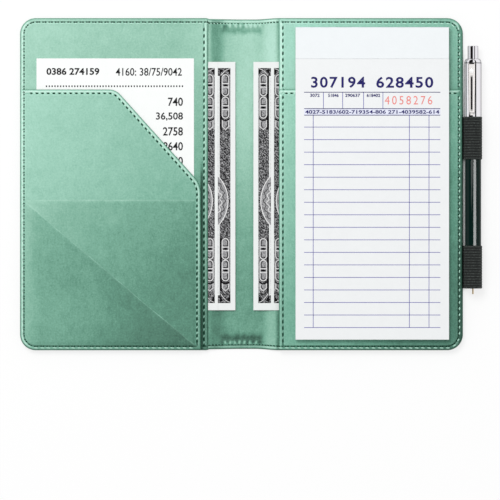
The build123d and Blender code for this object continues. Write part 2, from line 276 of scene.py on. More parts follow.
class Shape:
    """Points and faces that become one piece."""

    def __init__(self):
        self.points, self.faces, self.values = [], [], []

    def add(self, points, faces, values=None):
        """More points, in millimetres, with their faces and a (rim, shade) for each point."""
        first = len(self.points)
        self.points += [tuple(point) for point in points]
        self.faces += [[first + index for index in face] for face in faces]
        self.values += values or [(0.0, 0.0)] * len(points)
        return self

    def loft(self, rings, closed=False, values=None):
        """A skin over rings of as many points each, capped at its ends or joined round to the first."""
        size, last = len(rings[0]), (len(rings) - 1) * len(rings[0])
        faces = []
        for ring in range(len(rings) if closed else len(rings) - 1):
            row, after = ring * size, (ring + 1) % len(rings) * size
            for i in range(size):
                j = (i + 1) % size
                faces.append([row + i, row + j, after + j, after + i])
        if not closed:
            faces += [list(range(size))[::-1], list(range(last, last + size))]
        return self.add([point for ring in rings for point in ring], faces, values)

    def prism(self, points, low, high):
        """A flat outline given a thickness."""
        return self.loft([[(x, y, z) for x, y in points] for z in (low, high)])

    def bar(self, left, right, bottom, top, low, high):
        """A box between two corners."""
        return self.prism([(left, bottom), (right, bottom), (right, top), (left, top)], low, high)

    def ribbon(self, line, width, low, high, closed=False):
        """A flat strip of a width along a line."""
        befores = line[-1:] + line if closed else line[:1] + line
        afters = line[1:] + (line[:1] if closed else line[-1:])
        rings = []
        for before, here, after in zip(befores, line, afters):
            side = left_of(after - before).normalized() * width / 2
            left, right = here + side, here - side
            rings.append([(*right, low), (*left, low), (*left, high), (*right, high)])
        self.loft(rings, closed)

    def piece(self, name, finish, body, stands_for=(), slot=None, sharp=40.0):
        """The finished object, riding on a body or, given (a, b, start, end), left where it stands on no
        body, without bending.
        """
        mesh = bpy.data.meshes.new(name)
        mesh.from_pydata([(x * MM, y * MM, z * MM) for x, y, z in self.points], [], self.faces)
        mesh.validate()
        mesh.update()
        layer = mesh.uv_layers.new(name="flat")
        for loop in mesh.loops:
            x, y, _ = self.points[loop.vertex_index]
            layer.data[loop.index].uv = (x / UV_SPAN, y / UV_SPAN)
        # rim: painted highlight, partly wear, above 0 and painted edge shade below 0, and on the elastic the
        # ribs' painted highlight; shade: painted shade and light, and the raw layers' deeper tone
        for index, label in enumerate(("rim", "shade")):
            carried = mesh.attributes.new(label, "FLOAT", "POINT")
            carried.data.foreach_set("value", [value[index] for value in self.values])
        mesh.materials.append(finishes[finish])
        mesh.shade_smooth()
        mesh.set_sharp_from_angle(angle=math.radians(sharp))
        made = linked(name, mesh)
        if isinstance(body, str):
            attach(made, body)
        else:
            a, b, start, end = body
            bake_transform(made)
        if stands_for:
            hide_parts(*stands_for)
        return made


# Finishes

finishes = {}


def linear(red, green, blue):
    """A colour given as it shows, in 0 to 255, for a shader socket."""
    shares = [value / 255 for value in (red, green, blue)]
    return (*[s / 12.92 if s <= 0.04045 else ((s + 0.055) / 1.055) ** 2.4 for s in shares], 1.0)


class Finish:
    """The nodes of a new material or world, with a few short ways to add to them."""

    def __init__(self, name, kind=bpy.data.materials):
        self.owner = finishes[name] = kind.new(name)
        self.owner.use_nodes = True
        self.tree = self.owner.node_tree
        self.shader = self.tree.nodes.get("Principled BSDF") or self.tree.nodes["Background"]

    def feed(self, socket, value):
        """A constant, or a link from another node's output."""
        if isinstance(value, bpy.types.NodeSocket):
            self.tree.links.new(value, socket)
        else:
            socket.default_value = value

    def node(self, kind, inputs, **settings):
        """A new node's outputs. Its inputs are given by name or number."""
        made = self.tree.nodes.new("ShaderNode" + kind)
        for key, value in settings.items():
            setattr(made, key, value)
        for key, value in inputs.items():
            self.feed(made.inputs[key], value)
        return made.outputs

    def set(self, **values):
        """The shader's sockets by name, with underscores for spaces."""
        for key, value in values.items():
            self.feed(self.shader.inputs[key.replace("_", " ")], value)

    def flat_place(self):
        """The sheet's own flat coordinates, the same at every pose."""
        return self.node("UVMap", {}, uv_map="flat")["UV"]

    def object_place(self):
        return self.node("TexCoord", {})["Object"]

    def value(self, name):
        """A value that the mesh carries at each point."""
        return self.node("Attribute", {}, attribute_name=name)["Fac"]

    def math(self, operation, *values):
        return self.node("Math", dict(enumerate(values)), operation=operation)[0]

    def total(self, *values):
        return reduce(lambda a, b: self.math("ADD", a, b), values)

    def centred(self, value, reach):
        """A 0 to 1 value moved to lie from minus to plus reach."""
        return self.math("MULTIPLY_ADD", value, 2 * reach, -reach)

    def ease(self, value, start, end, low=0.0, high=1.0):
        """low at start and high at end, turning smoothly between them."""
        inputs = {"Value": value, "From Min": start, "From Max": end, "To Min": low, "To Max": high}
        return self.node("MapRange", inputs, interpolation_type="SMOOTHSTEP")["Result"]

    def stretched(self, place, scale, offset=(0, 0, 0)):
        return self.node("Mapping", {"Vector": place, "Scale": scale, "Location": offset})["Vector"]

    def noise(self, place, scale, detail=3.0, roughness=0.5, warp=0.0):
        look = {"Detail": detail, "Roughness": roughness, "Distortion": warp}
        return self.node("TexNoise", {"Vector": place, "Scale": scale} | look)["Fac"]

    def waves(self, place, **inputs):
        """Slanted bands."""
        inputs = {key.replace("_", " "): value for key, value in inputs.items()} | {"Vector": place}
        return self.node("TexWave", inputs, wave_type="BANDS", bands_direction="DIAGONAL")["Fac"]

    def ramp(self, factor, stops):
        made = self.node("ValToRGB", {"Fac": factor})["Color"]
        elements = made.node.color_ramp.elements
        while len(elements) < len(stops):
            elements.new(0.5)
        for element, (position, colour) in zip(elements, stops):
            element.position = position
            element.color = colour
        return made

    def mix(self, factor, a, b, blend="MIX"):
        return self.node("Mix", {0: factor, 6: a, 7: b}, data_type="RGBA", blend_type=blend)[2]

    def bump(self, height, distance, strength=1.0, under=None):
        inputs = {"Strength": strength, "Distance": distance * MM, "Height": height}
        return self.node("Bump", inputs | ({"Normal": under} if under else {}))["Normal"]


# The leather's tones, from its palest to its deepest. The deepest stops serve the painted shadows that the
# shade value adds.
TONES = (
    (-0.3, linear(180, 222, 205)),
    (0.0, linear(160, 206, 186)),
    (0.5, linear(119, 172, 150)),
    (0.75, linear(94, 146, 125)),
    (1.0, linear(75, 119, 101)),
    (1.25, linear(51, 90, 75)),
    (1.6, linear(32, 72, 56)),
)
LOW_TONE = TONES[0][0]
TONE_REACH = TONES[-1][0] - LOW_TONE
# Painted highlight on rounded rims and beside seams, partly wear
WEAR_AND_HIGHLIGHT = linear(216, 252, 237)
# Painted shade along the outer edges
EDGE_SHADE = linear(116, 160, 144)
# Painted shade on the threads, deeper towards the foot
THREAD_IN_SHADE = linear(92, 152, 130)
CLOUDY = 0.12
SPECKLE = 0.19

# For each leather: its tone at x = 0, how much deeper it is UV_SPAN to the right, how much deeper it is
# at the foot, the y where that starts and ends, its seed, and its share of red. The deepening to the
# right and towards the foot is partly the leather's own tone and partly painted shade, as the light
# falls off away from the upper left
LEATHERS = {
    "front_flap": (0.33, 0.28, 0.62, 95, -80, 1.0, 1.0),
    "receipt_pocket": (0.5, 0.42, 0.37, 45, -100, 2.0, 0.965),
    "card_pocket": (0.49, 0.42, 0.36, 45, -100, 3.0, 1.0),
    "corner_pocket": (0.47, 0.42, 0.36, 45, -100, 4.0, 1.0),
    "lining": (0.0, 0.0, 0.66, 50, -60, 5.0, 1.0),
    "back_flap": (-0.25, 0.5, 0.62, 90, -95, 6.0, 0.93),
    "pad_pocket": (-0.25, 0.5, 0.62, 90, -95, 7.0, 0.93),
    "outside": (0.44, 0.1, 0.3, 60, -90, 8.0, 1.0),
}


def leather(name, level, across, drop, from_y, to_y, seed, red):
    """Pull-up leather: its tone with clouds and specks, painted shade that deepens to the right and towards
    the foot, pale rims that are partly wear and partly painted highlight, painted shade at the edges and
    wherever the mesh's shade value adds it, and fine grain.
    """
    finish = Finish("leather_" + name)
    flat = finish.flat_place()
    parts = finish.node("SeparateXYZ", {0: flat})
    # Deeper to the right and towards the foot: partly the leather's own tone, partly painted shade
    tone = finish.math("MULTIPLY_ADD", parts["X"], across, level)
    fall = finish.ease(parts["Y"], from_y / UV_SPAN, to_y / UV_SPAN, 0.0, drop)
    moved = finish.stretched(flat, (1, 1, 1), (seed * 3.7, seed * 1.9, 0))
    broad = finish.noise(moved, 3.0, 3, 0.55, 0.5)
    patch = finish.noise(moved, 13.0, 5, 0.62, 0.8)
    brushed = finish.noise(finish.stretched(moved, (1.0, 0.45, 1.0)), 40.0, 5, 0.7, 1.5)
    speck = finish.noise(moved, 95.0, 3, 0.7)
    clouds = (broad, CLOUDY), (patch, CLOUDY * 1.3), (brushed, SPECKLE), (speck, SPECKLE * 1.5)
    uneven = [finish.centred(value, reach) for value, reach in clouds]
    # The mesh's shade value adds painted shade and light where the pieces are shaped
    tone = finish.total(tone, fall, finish.value("shade"), *uneven)
    # How much painted highlight, partly wear, the rims take: less where the tone is deep
    wear_and_highlight_share = finish.math("MAXIMUM", finish.math("MULTIPLY_ADD", tone, -0.42, 0.5), 0.06)
    tone = finish.math("MULTIPLY_ADD", tone, 1 / TONE_REACH, -LOW_TONE / TONE_REACH)
    colour = finish.ramp(tone, [((t - LOW_TONE) / TONE_REACH, (c[0] * red, *c[1:])) for t, c in TONES])
    rim = finish.value("rim")
    bright = finish.math("MULTIPLY", finish.math("MAXIMUM", rim, 0.0), wear_and_highlight_share)
    # rim below 0 paints shade at the edges
    edge_shade_share = finish.math("MAXIMUM", finish.math("MULTIPLY", rim, -1.0), 0.0)
    colour = finish.mix(bright, colour, WEAR_AND_HIGHLIGHT)
    colour = finish.mix(finish.math("MULTIPLY", edge_shade_share, 0.6), colour, EDGE_SHADE, "MULTIPLY")
    grain = finish.node("TexVoronoi", {"Vector": moved, "Scale": 120.0})["Distance"]
    pores = finish.noise(moved, 210.0, 2, 0.5)
    wrinkle = finish.noise(finish.stretched(moved, (1.0, 0.6, 1.0)), 34.0, 5, 0.6, 1.0)
    normal = finish.bump(finish.total(grain, pores), 0.06, 0.55, finish.bump(wrinkle, 0.16, 0.6))
    rough = finish.math("MULTIPLY_ADD", patch, 0.2, 0.48)
    finish.set(Base_Color=colour, Roughness=rough, Normal=normal, Specular_IOR_Level=0.25)


def plain(name, colour, roughness, metallic=0.0, spread=0.08, specular=0.5, edge=1.0):
    """A simple finish, a little uneven in colour. edge is how bright a metal stays at a glancing angle."""
    finish = Finish(name)
    uneven = finish.noise(finish.object_place(), 1 / (6 * MM), 3, 0.6)
    base = linear(*colour)[:3]
    stops = [
        (place, tuple(min(1.0, value * level) for value in base) + (1.0,))
        for place, level in ((0.3, 1 - spread), (0.7, 1 + spread))
    ]
    finish.set(
        Base_Color=finish.ramp(uneven, stops), Roughness=roughness, Metallic=metallic,
        Specular_IOR_Level=specular, Specular_Tint=(edge, edge, edge, 1.0),
    )


def paper(name, colour, fibres=0.02):
    """Matt paper with faint fibres."""
    finish = Finish(name)
    place, colour = finish.object_place(), linear(*colour)
    darker = tuple(value * 0.985 for value in colour[:3]) + (1.0,)
    tint = finish.ramp(finish.noise(place, 180.0, 4, 0.6), [(0.35, darker), (0.65, colour)])
    normal = finish.bump(finish.noise(place, 1500.0, 3, 0.7), fibres, 0.4)
    finish.set(Base_Color=tint, Roughness=0.7, Specular_IOR_Level=0.15, Normal=normal)


def thread(name):
    """Twisted sewing thread, darkened by the mesh's shade value: painted shade, deeper towards the foot."""
    finish = Finish(name)
    twist = finish.waves(finish.flat_place(), Scale=95.0)
    tint = finish.ramp(twist, [(0.2, linear(158, 214, 192)), (0.7, linear(214, 254, 237))])
    tint = finish.mix(finish.value("shade"), tint, THREAD_IN_SHADE)
    finish.set(Base_Color=tint, Roughness=0.5, Normal=finish.bump(twist, 0.06, 0.6), Sheen_Weight=0.2)


def elastic(name):
    """Woven elastic with a fine cross weave: painted highlight on the ribs over painted shade in the
    grooves, from the mesh's rim value.
    """
    finish = Finish(name)
    weave = finish.noise(finish.stretched(finish.object_place(), (0.6, 1.6, 0.6)), 1500.0, 3, 0.7)
    ridge = finish.math("MULTIPLY_ADD", finish.centred(weave, 0.5), 1.5, finish.value("rim"))
    greys = [(0.1, linear(14, 18, 17)), (0.5, linear(38, 43, 41)), (0.95, linear(88, 95, 92))]
    normal = finish.bump(weave, 0.12, 0.7)
    finish.set(Base_Color=finish.ramp(ridge, greys), Roughness=0.7, Normal=normal, Specular_IOR_Level=0.3)


def engraving(name, deep, middle, pale):
    """Fine line work with flecks, as it shows from arm's length, in three greys."""
    finish = Finish(name)
    flat = finish.flat_place()
    lines = finish.waves(flat, Scale=36.0, Distortion=11.0, Detail=2.0, Detail_Scale=1.6)
    lines = finish.math("MULTIPLY_ADD", lines, 0.35, -0.45)
    both = finish.math("MULTIPLY_ADD", finish.noise(flat, 120.0, 2, 0.6, 1.2), 1.5, lines)
    levels = (0.22, deep), (0.46, middle), (0.72, pale)
    tint = finish.ramp(both, [(place, linear(level, level, level + 2)) for place, level in levels])
    finish.set(Base_Color=tint, Roughness=0.7, Specular_IOR_Level=0.15)


for name, values in LEATHERS.items():
    leather(name, *values)
thread("mint_thread")
elastic("black_elastic")
for name, colour in {
    "receipt_paper": (247, 249, 248), "note_paper": (236, 239, 238),
    "pad_paper": (239, 241, 242), "stub_paper": (239, 243, 245),
}.items():
    paper(name, colour)
paper("pad_card", (176, 168, 152), 0.05)
paper("greyboard", (160, 156, 150), 0.08)
# Painted shadow for the mouths of the stitch holes
plain("stitch_hole", (8, 50, 34), 0.8, specular=0.05)
plain("pad_glue", (226, 230, 236), 0.4)
plain("chrome", (236, 234, 238), 0.04, 1.0, spread=0.01, edge=0.12)
plain("clip_chrome", (236, 232, 230), 0.14, 1.0, spread=0.01, edge=0.12)
plain("dark_barrel", (9, 30, 27), 0.1, spread=0.03, specular=0.1)
plain("refill_brass", (200, 170, 110), 0.3, 1.0)
plain("refill_steel", (180, 180, 184), 0.3, 1.0)
plain("cam_plastic", (225, 225, 220), 0.4)
plain("spring_steel", (170, 172, 176), 0.25, 1.0)
plain("white_enamel", (250, 250, 250), 0.3)
engraving("note_grey", 118, 150, 182)
engraving("note_band", 20, 54, 176)
engraving("note_field", 176, 206, 232)
for name, colour in {
    "clip_slot": (34, 30, 34), "black_ink": (38, 38, 40),
    "note_dark": (12, 12, 14), "note_pale": (232, 232, 232),
    "navy_ink": (40, 36, 104), "line_ink": (92, 88, 168),
    "lilac_ink": (226, 229, 245), "red_ink": (238, 138, 132),
}.items():
    plain(name, colour, 0.6, specular=0.1)


# Leather sheets

RIM_DEPTHS = (
    0.0, 0.07, 0.2, 0.42, 0.72, 1.0, 1.3, 1.55, 1.75, 1.95, 2.15, 2.35, 2.6, 2.9, 3.3, 3.9, 4.8, 6.2,
)
PERIMETER_INSET = 1.85
HEM_INSET = 2.3


def rounded_rim(depth, drop, reach=0.5):
    """How far a sheet's upper side lies below its flat level at a depth from its edge."""
    share = 1 - min(1.0, depth / reach)
    return -drop * (1 - math.sqrt(max(0.0, 1 - share * share)))


def leather_sheet(edge, top, bottom, look, depths=RIM_DEPTHS, spacing=3.2, fine=None):
    """A closed sheet inside an outline. top and bottom give a height from x, y and the edge depth, and
    look gives (rim, shade). fine is a strip of x where the inner points are dense, most at its ends."""
    edge_tree = tree_along(edge, step=0.1)
    rings = [drawn_in(edge, depth, edge_tree) for depth in depths]
    last = rings[-1]
    left, right = min(p.x for p in last), max(p.x for p in last)
    low, high = min(p.y for p in last), max(p.y for p in last)
    room = pairs(drawn_in(last, spacing * 0.3))
    inner = []
    x, column = left + spacing / 2, 0
    while x < right:
        dense = fine and fine[0] <= x <= fine[1]
        y = low + spacing * (0.4 if column % 2 else 0.8)
        while y < high:
            if inside(Vector((x, y)), room):
                inner.append(Vector((x, y)))
            y += 0.9 if dense and min(y - low, high - y) < 14 else spacing
        x += 1.0 if dense else spacing
        column += 1
    border = pairs(list(range(len(last))))
    found = delaunay_2d_cdt(last + inner, border, [], 1, 1e-5)
    core_points, core_faces, origins = found[0], found[2], found[3]
    places = [(p, depth) for ring, depth in zip(rings[:-1], depths) for p in ring]
    first = len(places)
    places += [(Vector(p), depths[-1]) for p in core_points]
    core = {source: first + index for index, sources in enumerate(origins) for source in sources}
    faces = []
    for ring in range(len(rings) - 1):
        row, after = ring * len(last), (ring + 1) * len(last)
        for i, j in border:
            further = (core[j], core[i]) if after == first else (after + j, after + i)
            faces.append([row + i, row + j, *further])
    faces += [[first + index for index in face] for face in core_faces]
    total = len(places)
    upper = [(p.x, p.y, top(p.x, p.y, depth)) for p, depth in places]
    lower = [(p.x, p.y, bottom(p.x, p.y, depth)) for p, depth in places]
    under = [[total + index for index in face[::-1]] for face in faces]
    walls = [[i, total + i, total + j, j] for i, j in border]
    looks = [look(p.x, p.y, depth) for p, depth in places]
    return Shape().add(upper + lower, faces + under + walls, looks + looks)


HOLE_PAIR = 0.72  # from the middle of a perimeter stitch to each of its two holes
CLEAR = 0.31  # the share of the pitch from a single hole's middle to the end of its thread
THREAD_SIDES = 7
THREAD_FLATNESS = 0.8


class Seam:
    """A line of stitches: where it runs, where its holes are and how it presses the leather. hole is
    half the length and width of a hole, and fuller is how much thicker than usual the thread is."""

    def __init__(self, line, pitch, paired=False, start=0.0, hole=(1.4, 0.66), fuller=1.0):
        self.paired, self.fuller = paired, fuller
        self.hole = (0.5, 0.43) if paired else hole
        self.places = walk(line, pitch, start)
        apart = (-HOLE_PAIR, HOLE_PAIR) if paired else (0.0,)
        self.line_tree = tree_along(line, closed=False)
        self.hole_tree = tree_at([point + way * step for point, way in self.places for step in apart])

    def away(self, x, y):
        """The distance from the line."""
        return away_from(self.line_tree, x, y)

    def pucker_highlight(self, x, y):
        """A painted highlight: the bright line that winds past the holes, further from the seam beside each
        of them.
        """
        away, hole = self.away(x, y), away_from(self.hole_tree, x, y)
        along = math.sqrt(max(0.0, hole * hole - away * away))
        return bell(away, 0.55 + 0.5 * bell(along, 0, 1.0), 0.32)

    def relief(self, x, y):
        """How the stitches raise and press the leather: a groove, deeper at the holes, and a shoulder."""
        away = self.away(x, y)
        if away > 4:
            return 0.0
        hole = away_from(self.hole_tree, x, y)
        if self.paired:
            return 0.1 * bell(away, 1.0, 0.5) - 0.14 * bell(away, 0, 0.4) - 0.2 * bell(hole, 0, 0.5)
        return 0.13 * bell(away, 1.1, 0.5) - 0.28 * bell(away, 0, 0.45) - 0.3 * bell(hole, 0, 0.7)


def hole_shadow_disc(shape, middle, lean, reach, width, base, sides):
    """A dark disc laid over a stitch hole: painted shadow of the hole's mouth."""
    turns = [polar(1.0, 2 * math.pi * turn / sides) for turn in range(sides)]
    oval = [middle + lean * reach * turn.x + left_of(lean) * width * turn.y for turn in turns]
    shape.prism(oval, base - 0.2, base)


def stitch(shape, line, height, rise, radii, shade):
    """One thread over a line of (place, arch). Where arch is 0 it has the first of rise over height
    and the first of radii, and where arch is 1 it has both of each."""
    path = [Vector((*place, height(*place) + rise[0] + rise[1] * arch)) for place, arch in line]
    rings = []
    for index, here in enumerate(path):
        way = path[min(index + 1, len(path) - 1)] - path[max(index - 1, 0)]
        across = Vector((way.y, -way.x, 0)).normalized()
        up = across.cross(way).normalized() * THREAD_FLATNESS
        radius = radii[0] + radii[1] * line[index][1] ** 0.5
        turns = [polar(radius, -2 * math.pi * side / THREAD_SIDES) for side in range(THREAD_SIDES)]
        rings.append([here + across * turn.x + up * turn.y for turn in turns])
    shape.loft(rings, values=[(0.0, shade)] * (len(path) * THREAD_SIDES))


def edge_thread(point, way):
    """Where a perimeter stitch's thread lies, by the side of the book it is on: (offset outward,
    offset along, half its length, radius)."""
    if abs(way.x) > 0.8:
        return (-0.85, 0.0, 0.95, 0.27) if point.y > 0 else (0.95, 0.0, 1.1, 0.36)
    if point.x > book_middle:
        return (0.62, 0.0, 0.8, 0.42)
    return (0.9, -HOLE_PAIR, 0.68, 0.3)


def sew_edge(seam, height, holes, threads, visible=None):
    """The perimeter's stitches: two small holes with a short thread beside them, which lies on the
    surface that height gives. The line runs anticlockwise round the book."""
    for point, way in seam.places:
        if visible and not visible(*point):
            continue
        offset, along, half, radius = edge_thread(point, way)
        reach, width = seam.hole
        reach *= 1.35 if abs(way.x) > 0.8 and point.y > 0 else 1.0
        for step in (-HOLE_PAIR, HOLE_PAIR):
            middle = point + way * step
            hole_shadow_disc(holes, middle, way, reach, width, height(*middle) + 0.24, 10)
        line = []
        for share in [part / 3 - 1 for part in range(7)]:
            place = point - left_of(way) * (offset + 0.12 * share) + way * (along + half * share)
            line.append((place, 1 - share * share))
        shade = 0.25 * smooth(-point.y, -20, 60)
        stitch(threads, line, height, (-0.08, 0.2), (0.35 * radius, 0.65 * radius), shade)


def sew(seam, height, holes, threads, visible=None, slant=-0.55, sunk=0.0):
    """Holes and threads along a seam, lying at a height from x and y, the threads sunk below it."""
    places = [(point, way) for point, way in seam.places if not visible or visible(*point)]
    pitch = (seam.places[1][0] - seam.places[0][0]).length
    for point, way in places:
        lean = (way * math.cos(slant) + left_of(way) * math.sin(slant)).normalized()
        hole_shadow_disc(holes, point, lean, *seam.hole, height(*point) + 0.03, 12)
    for (here, way), (after, _) in pairs(places, closed=False):
        gap = after - here
        if gap.length > 1.6 * pitch:
            continue
        line = []
        for share in [part / 7 for part in range(8)]:
            place = here + gap * (CLEAR + (1 - 2 * CLEAR) * share) + left_of(way) * 0.22 * (1 - 2 * share)
            line.append((place, math.sin(math.pi * share)))
        shade = 0.75 * smooth(-here.y, -30, 40) / seam.fuller ** 2
        stitch(threads, line, height, (-0.16 - sunk, 0.3), (0.18 * seam.fuller, 0.19 * seam.fuller), shade)


# Skin and lining: each in two halves that meet in the middle of the spine

FOLD_REACH = 4.2
SPINE_SAG = 0.8
OUTER_GROOVE = 0.3
EDGE_PITCH = 3.65
SIDES = {"front": -1, "back": 1}


def crease(side):
    """The two bodies on either side of a half's crease, with the x where the crease starts and ends."""
    if side < 0:
        return ("front_cover", "spine", spine_skin.left - FOLD_REACH, spine_skin.left + FOLD_REACH)
    return ("spine", "back_cover", spine_skin.right - FOLD_REACH, spine_skin.right + FOLD_REACH)


def sag(x):
    """How far the soft spine's head and foot draw in from the covers' edges."""
    start = front_flap.right
    rise = 0.7 * smooth(x, start - 0.8, start + 0.8) + 0.3 * smooth(x, start, book_middle)
    return SPINE_SAG * rise * (1 - smooth(x, back_flap.left - 14, back_flap.left + 0.5))


def sagged(x, y):
    """How much nearer the middle of the page the sag brings a place, by its sign of y."""
    return math.copysign(sag(x) * smooth(abs(y), 60, book_top), y)


def half_outline(side, inset):
    """One half of the book's outline, drawn in all round but for the middle of the spine."""
    far = book_left + inset if side < 0 else book_right - inset
    flat = rectangle(min(far, book_middle), max(far, book_middle), book_bottom + inset, book_top - inset,
                     by_side(side, CORNER - inset, 0))
    return [Vector((x, y - sagged(x, y))) for x, y in flat]


def sheet_depth(x, y):
    """How far a place lies inside the edge of the skin, with the spine's sag."""
    return book_depth(x, y + sagged(x, y))


def lining_low(x):
    """The underside of the lining: flat on the boards, down a slope to the soft spine."""
    if x < book_middle:
        share = smooth(x, front_board.right, front_board.right + SLOPE)
    else:
        share = 1 - smooth(x, back_board.left - SLOPE, back_board.left)
    return front_board.high + (spine_skin.high - front_board.high) * share


def outer_stitches(side, label):
    """The perimeter's seam as it shows on the outside of one half: made face up and then turned over."""
    line = opened(half_outline(side, REVEAL + PERIMETER_INSET), book_middle, 0.3)
    seam = Seam(line, EDGE_PITCH, hole=(1.15, 0.5))
    holes, threads = Shape(), Shape()
    sew(seam, lambda x, y: 0.17 - OUTER_GROOVE, holes, threads, slant=0.4, sunk=0.31)
    for shape in (holes, threads):
        shape.points = [(x, y, -z) for x, y, z in shape.points]
        shape.faces = [face[::-1] for face in shape.faces]
    holes.piece("outer_holes_" + label, "stitch_hole", crease(side), slot="outer_leather")
    threads.piece("outer_thread_" + label, "mint_thread", crease(side), slot="outer_leather")
    return seam


def skin_piece(label, nodes):
    side = SIDES[label]
    seam = outer_stitches(side, label)
    line = PERIMETER_INSET + REVEAL

    def top(x, y, depth):
        near = sheet_depth(x, y)
        rim = lining_low(x) - 0.02
        filled = rim + (spine_skin.high - rim) * smooth(near, 3.4, 3.9)
        return filled - 0.5 * (1 - smooth(near, 0.0, 0.5))

    def bottom(x, y, depth):
        near = sheet_depth(x, y)
        return 0.45 * (1 - smooth(near, 0.0, 0.6)) + OUTER_GROOVE * bell(near, line, 0.8)

    def look(x, y, depth):
        near = sheet_depth(x, y)
        # rim: painted highlight on the turned edge and, past the seam, the pucker highlight, with painted
        # shade at the very edge; shade: a little painted shade everywhere and more in the seam's groove
        rim = 0.7 * bell(near, 0.95, 0.4) - 0.8 * bell(near, 0.0, 0.5)
        if near < 6:
            rim += 0.9 * smooth(near, line, 2.7) * seam.pucker_highlight(x, y)
        return rim, 0.1 + 0.5 * bell(near, line, 0.45)

    shape = leather_sheet(half_outline(side, 0.0), top, bottom, look, spacing=4.0,
                          fine=(spine_skin.left - 6, spine_skin.right + 6))
    shape.piece(label + "_skin", "leather_outside", crease(side), nodes, "outer_leather")


skin_piece("front", ["front_cover_skin", "spine_skin"])
skin_piece("back", ["back_cover_skin"])

# The tufts' places from the middle of the spine, with how far each leans, at the head and at the foot
HEAD_TUFTS = (
    (-12.0, 0.1), (-6.9, 0.3), (-3.4, 0.2), (-0.5, -0.1), (2.5, 0.3), (5.3, 0.15), (7.9, 0.35), (10.7, 0.5),
)
FOOT_TUFTS = ((-9.5, -0.3), (-6.6, 0.1), (-3.9, -0.2), (-1.2, 0.15), (1.6, 0.3), (5.0, -0.1), (8.4, 0.2))


def gathers(x, y):
    """Puckers of the soft lining beside the seam at the head and foot of the spine: (height, shade)."""
    right = x - book_middle
    across = smooth(right, -13.5, -10) * (1 - smooth(right, 10, 14))
    end, tufts = (book_top, HEAD_TUFTS) if y > 0 else (book_bottom, FOOT_TUFTS)
    away = abs(y - end) - SPINE_SAG
    if away > 14:
        return 0.0, 0.0
    ridge = min(1.0, sum(bell(right, place + lean * (away - 3.4), 0.85) for place, lean in tufts))
    tuft = bell(away, 3.9, 1.15)
    hollow = bell(away + 1.1 * cloud(x, y, 6.0, 9.0), 6.8 - 0.8 * ridge, 1.8)
    # Painted shade in the hollow below the tufts and between them, painted highlight on the tufts
    shade = 0.55 * hollow - 0.8 * ridge * tuft + 0.6 * (1 - ridge) * tuft
    return (0.6 * ridge * tuft - 0.25 * hollow) * across, shade * across


def spine_shade(x, y):
    """Painted shade and light on the lining across the spine: painted shade down the front slope, less
    towards the foot, painted highlight up the back one, lighter beside the middle, darker at the head and
    from the back board's edge on.
    """
    front, back = front_board.right, back_board.left
    dark = smooth(x, front - 0.5, front + 1.5) * (1 - smooth(x, front + 4.5, front + 11))
    pale = smooth(x, back - 10, back - 4) * (1 - smooth(x, back - 1.2, back + 0.4))
    foot = 1 - 0.6 * smooth(-y, 20, 80)
    middle = bell(x, book_middle + 5, 7) * smooth(y, 20, 70)
    head = 0.12 * smooth(y, 60, 90)
    return 0.57 * dark * foot - 0.36 * pale - 0.13 * middle + head + 0.25 * smooth(x, back - 0.4, back + 0.6)


def lining_piece(label, nodes):
    side = SIDES[label]

    def top(x, y, depth):
        near = sheet_depth(x, y) - REVEAL
        base = lining_low(x)
        height = base + 0.45 + gathers(x, y)[0] + 0.1 * cloud(x, y, 16.0, 7.0) * smooth(near, 3, 8)
        height += 0.14 * bell(near, 0.9, 0.5) - 0.3 * bell(near, PERIMETER_INSET, 0.4)
        return max(height, base + 0.15) + rounded_rim(near, 0.25)

    def look(x, y, depth):
        if not front_flap.right - 1 < x < back_flap.left + 1:
            return 0.0, 0.0
        near = sheet_depth(x, y) - REVEAL
        # rim: painted highlight on the rounded edge and painted shade at the very edge; shade: painted shade
        # in the seam's groove, on the gathers and across the spine
        rim = bell(near, 0.95, 0.6) - 0.9 * bell(near, 0.0, 0.28)
        return rim, 0.5 * bell(near, PERIMETER_INSET, 0.35) + gathers(x, y)[1] + spine_shade(x, y)

    shape = leather_sheet(half_outline(side, REVEAL), top, lambda x, y, depth: lining_low(x), look,
                          spacing=3.0, fine=(front_board.right - 2, back_board.left + 2))
    shape.piece(label + "_lining", "leather_lining", crease(side), nodes, "inner_leather")


lining_piece("front", ["front_cover_lining", "spine_lining"])
lining_piece("back", ["back_cover_lining"])

# Flaps and pockets

FLAP_THICKNESS = 0.7
HEM_PITCH = 3.76
FRONT_HEM_PITCH = 3.788
FRONT_HEM_STITCHES = 50
POCKET_PITCH = 3.29
sewn_shapes = {body: (Shape(), Shape()) for body in ("front_cover", "back_cover")}


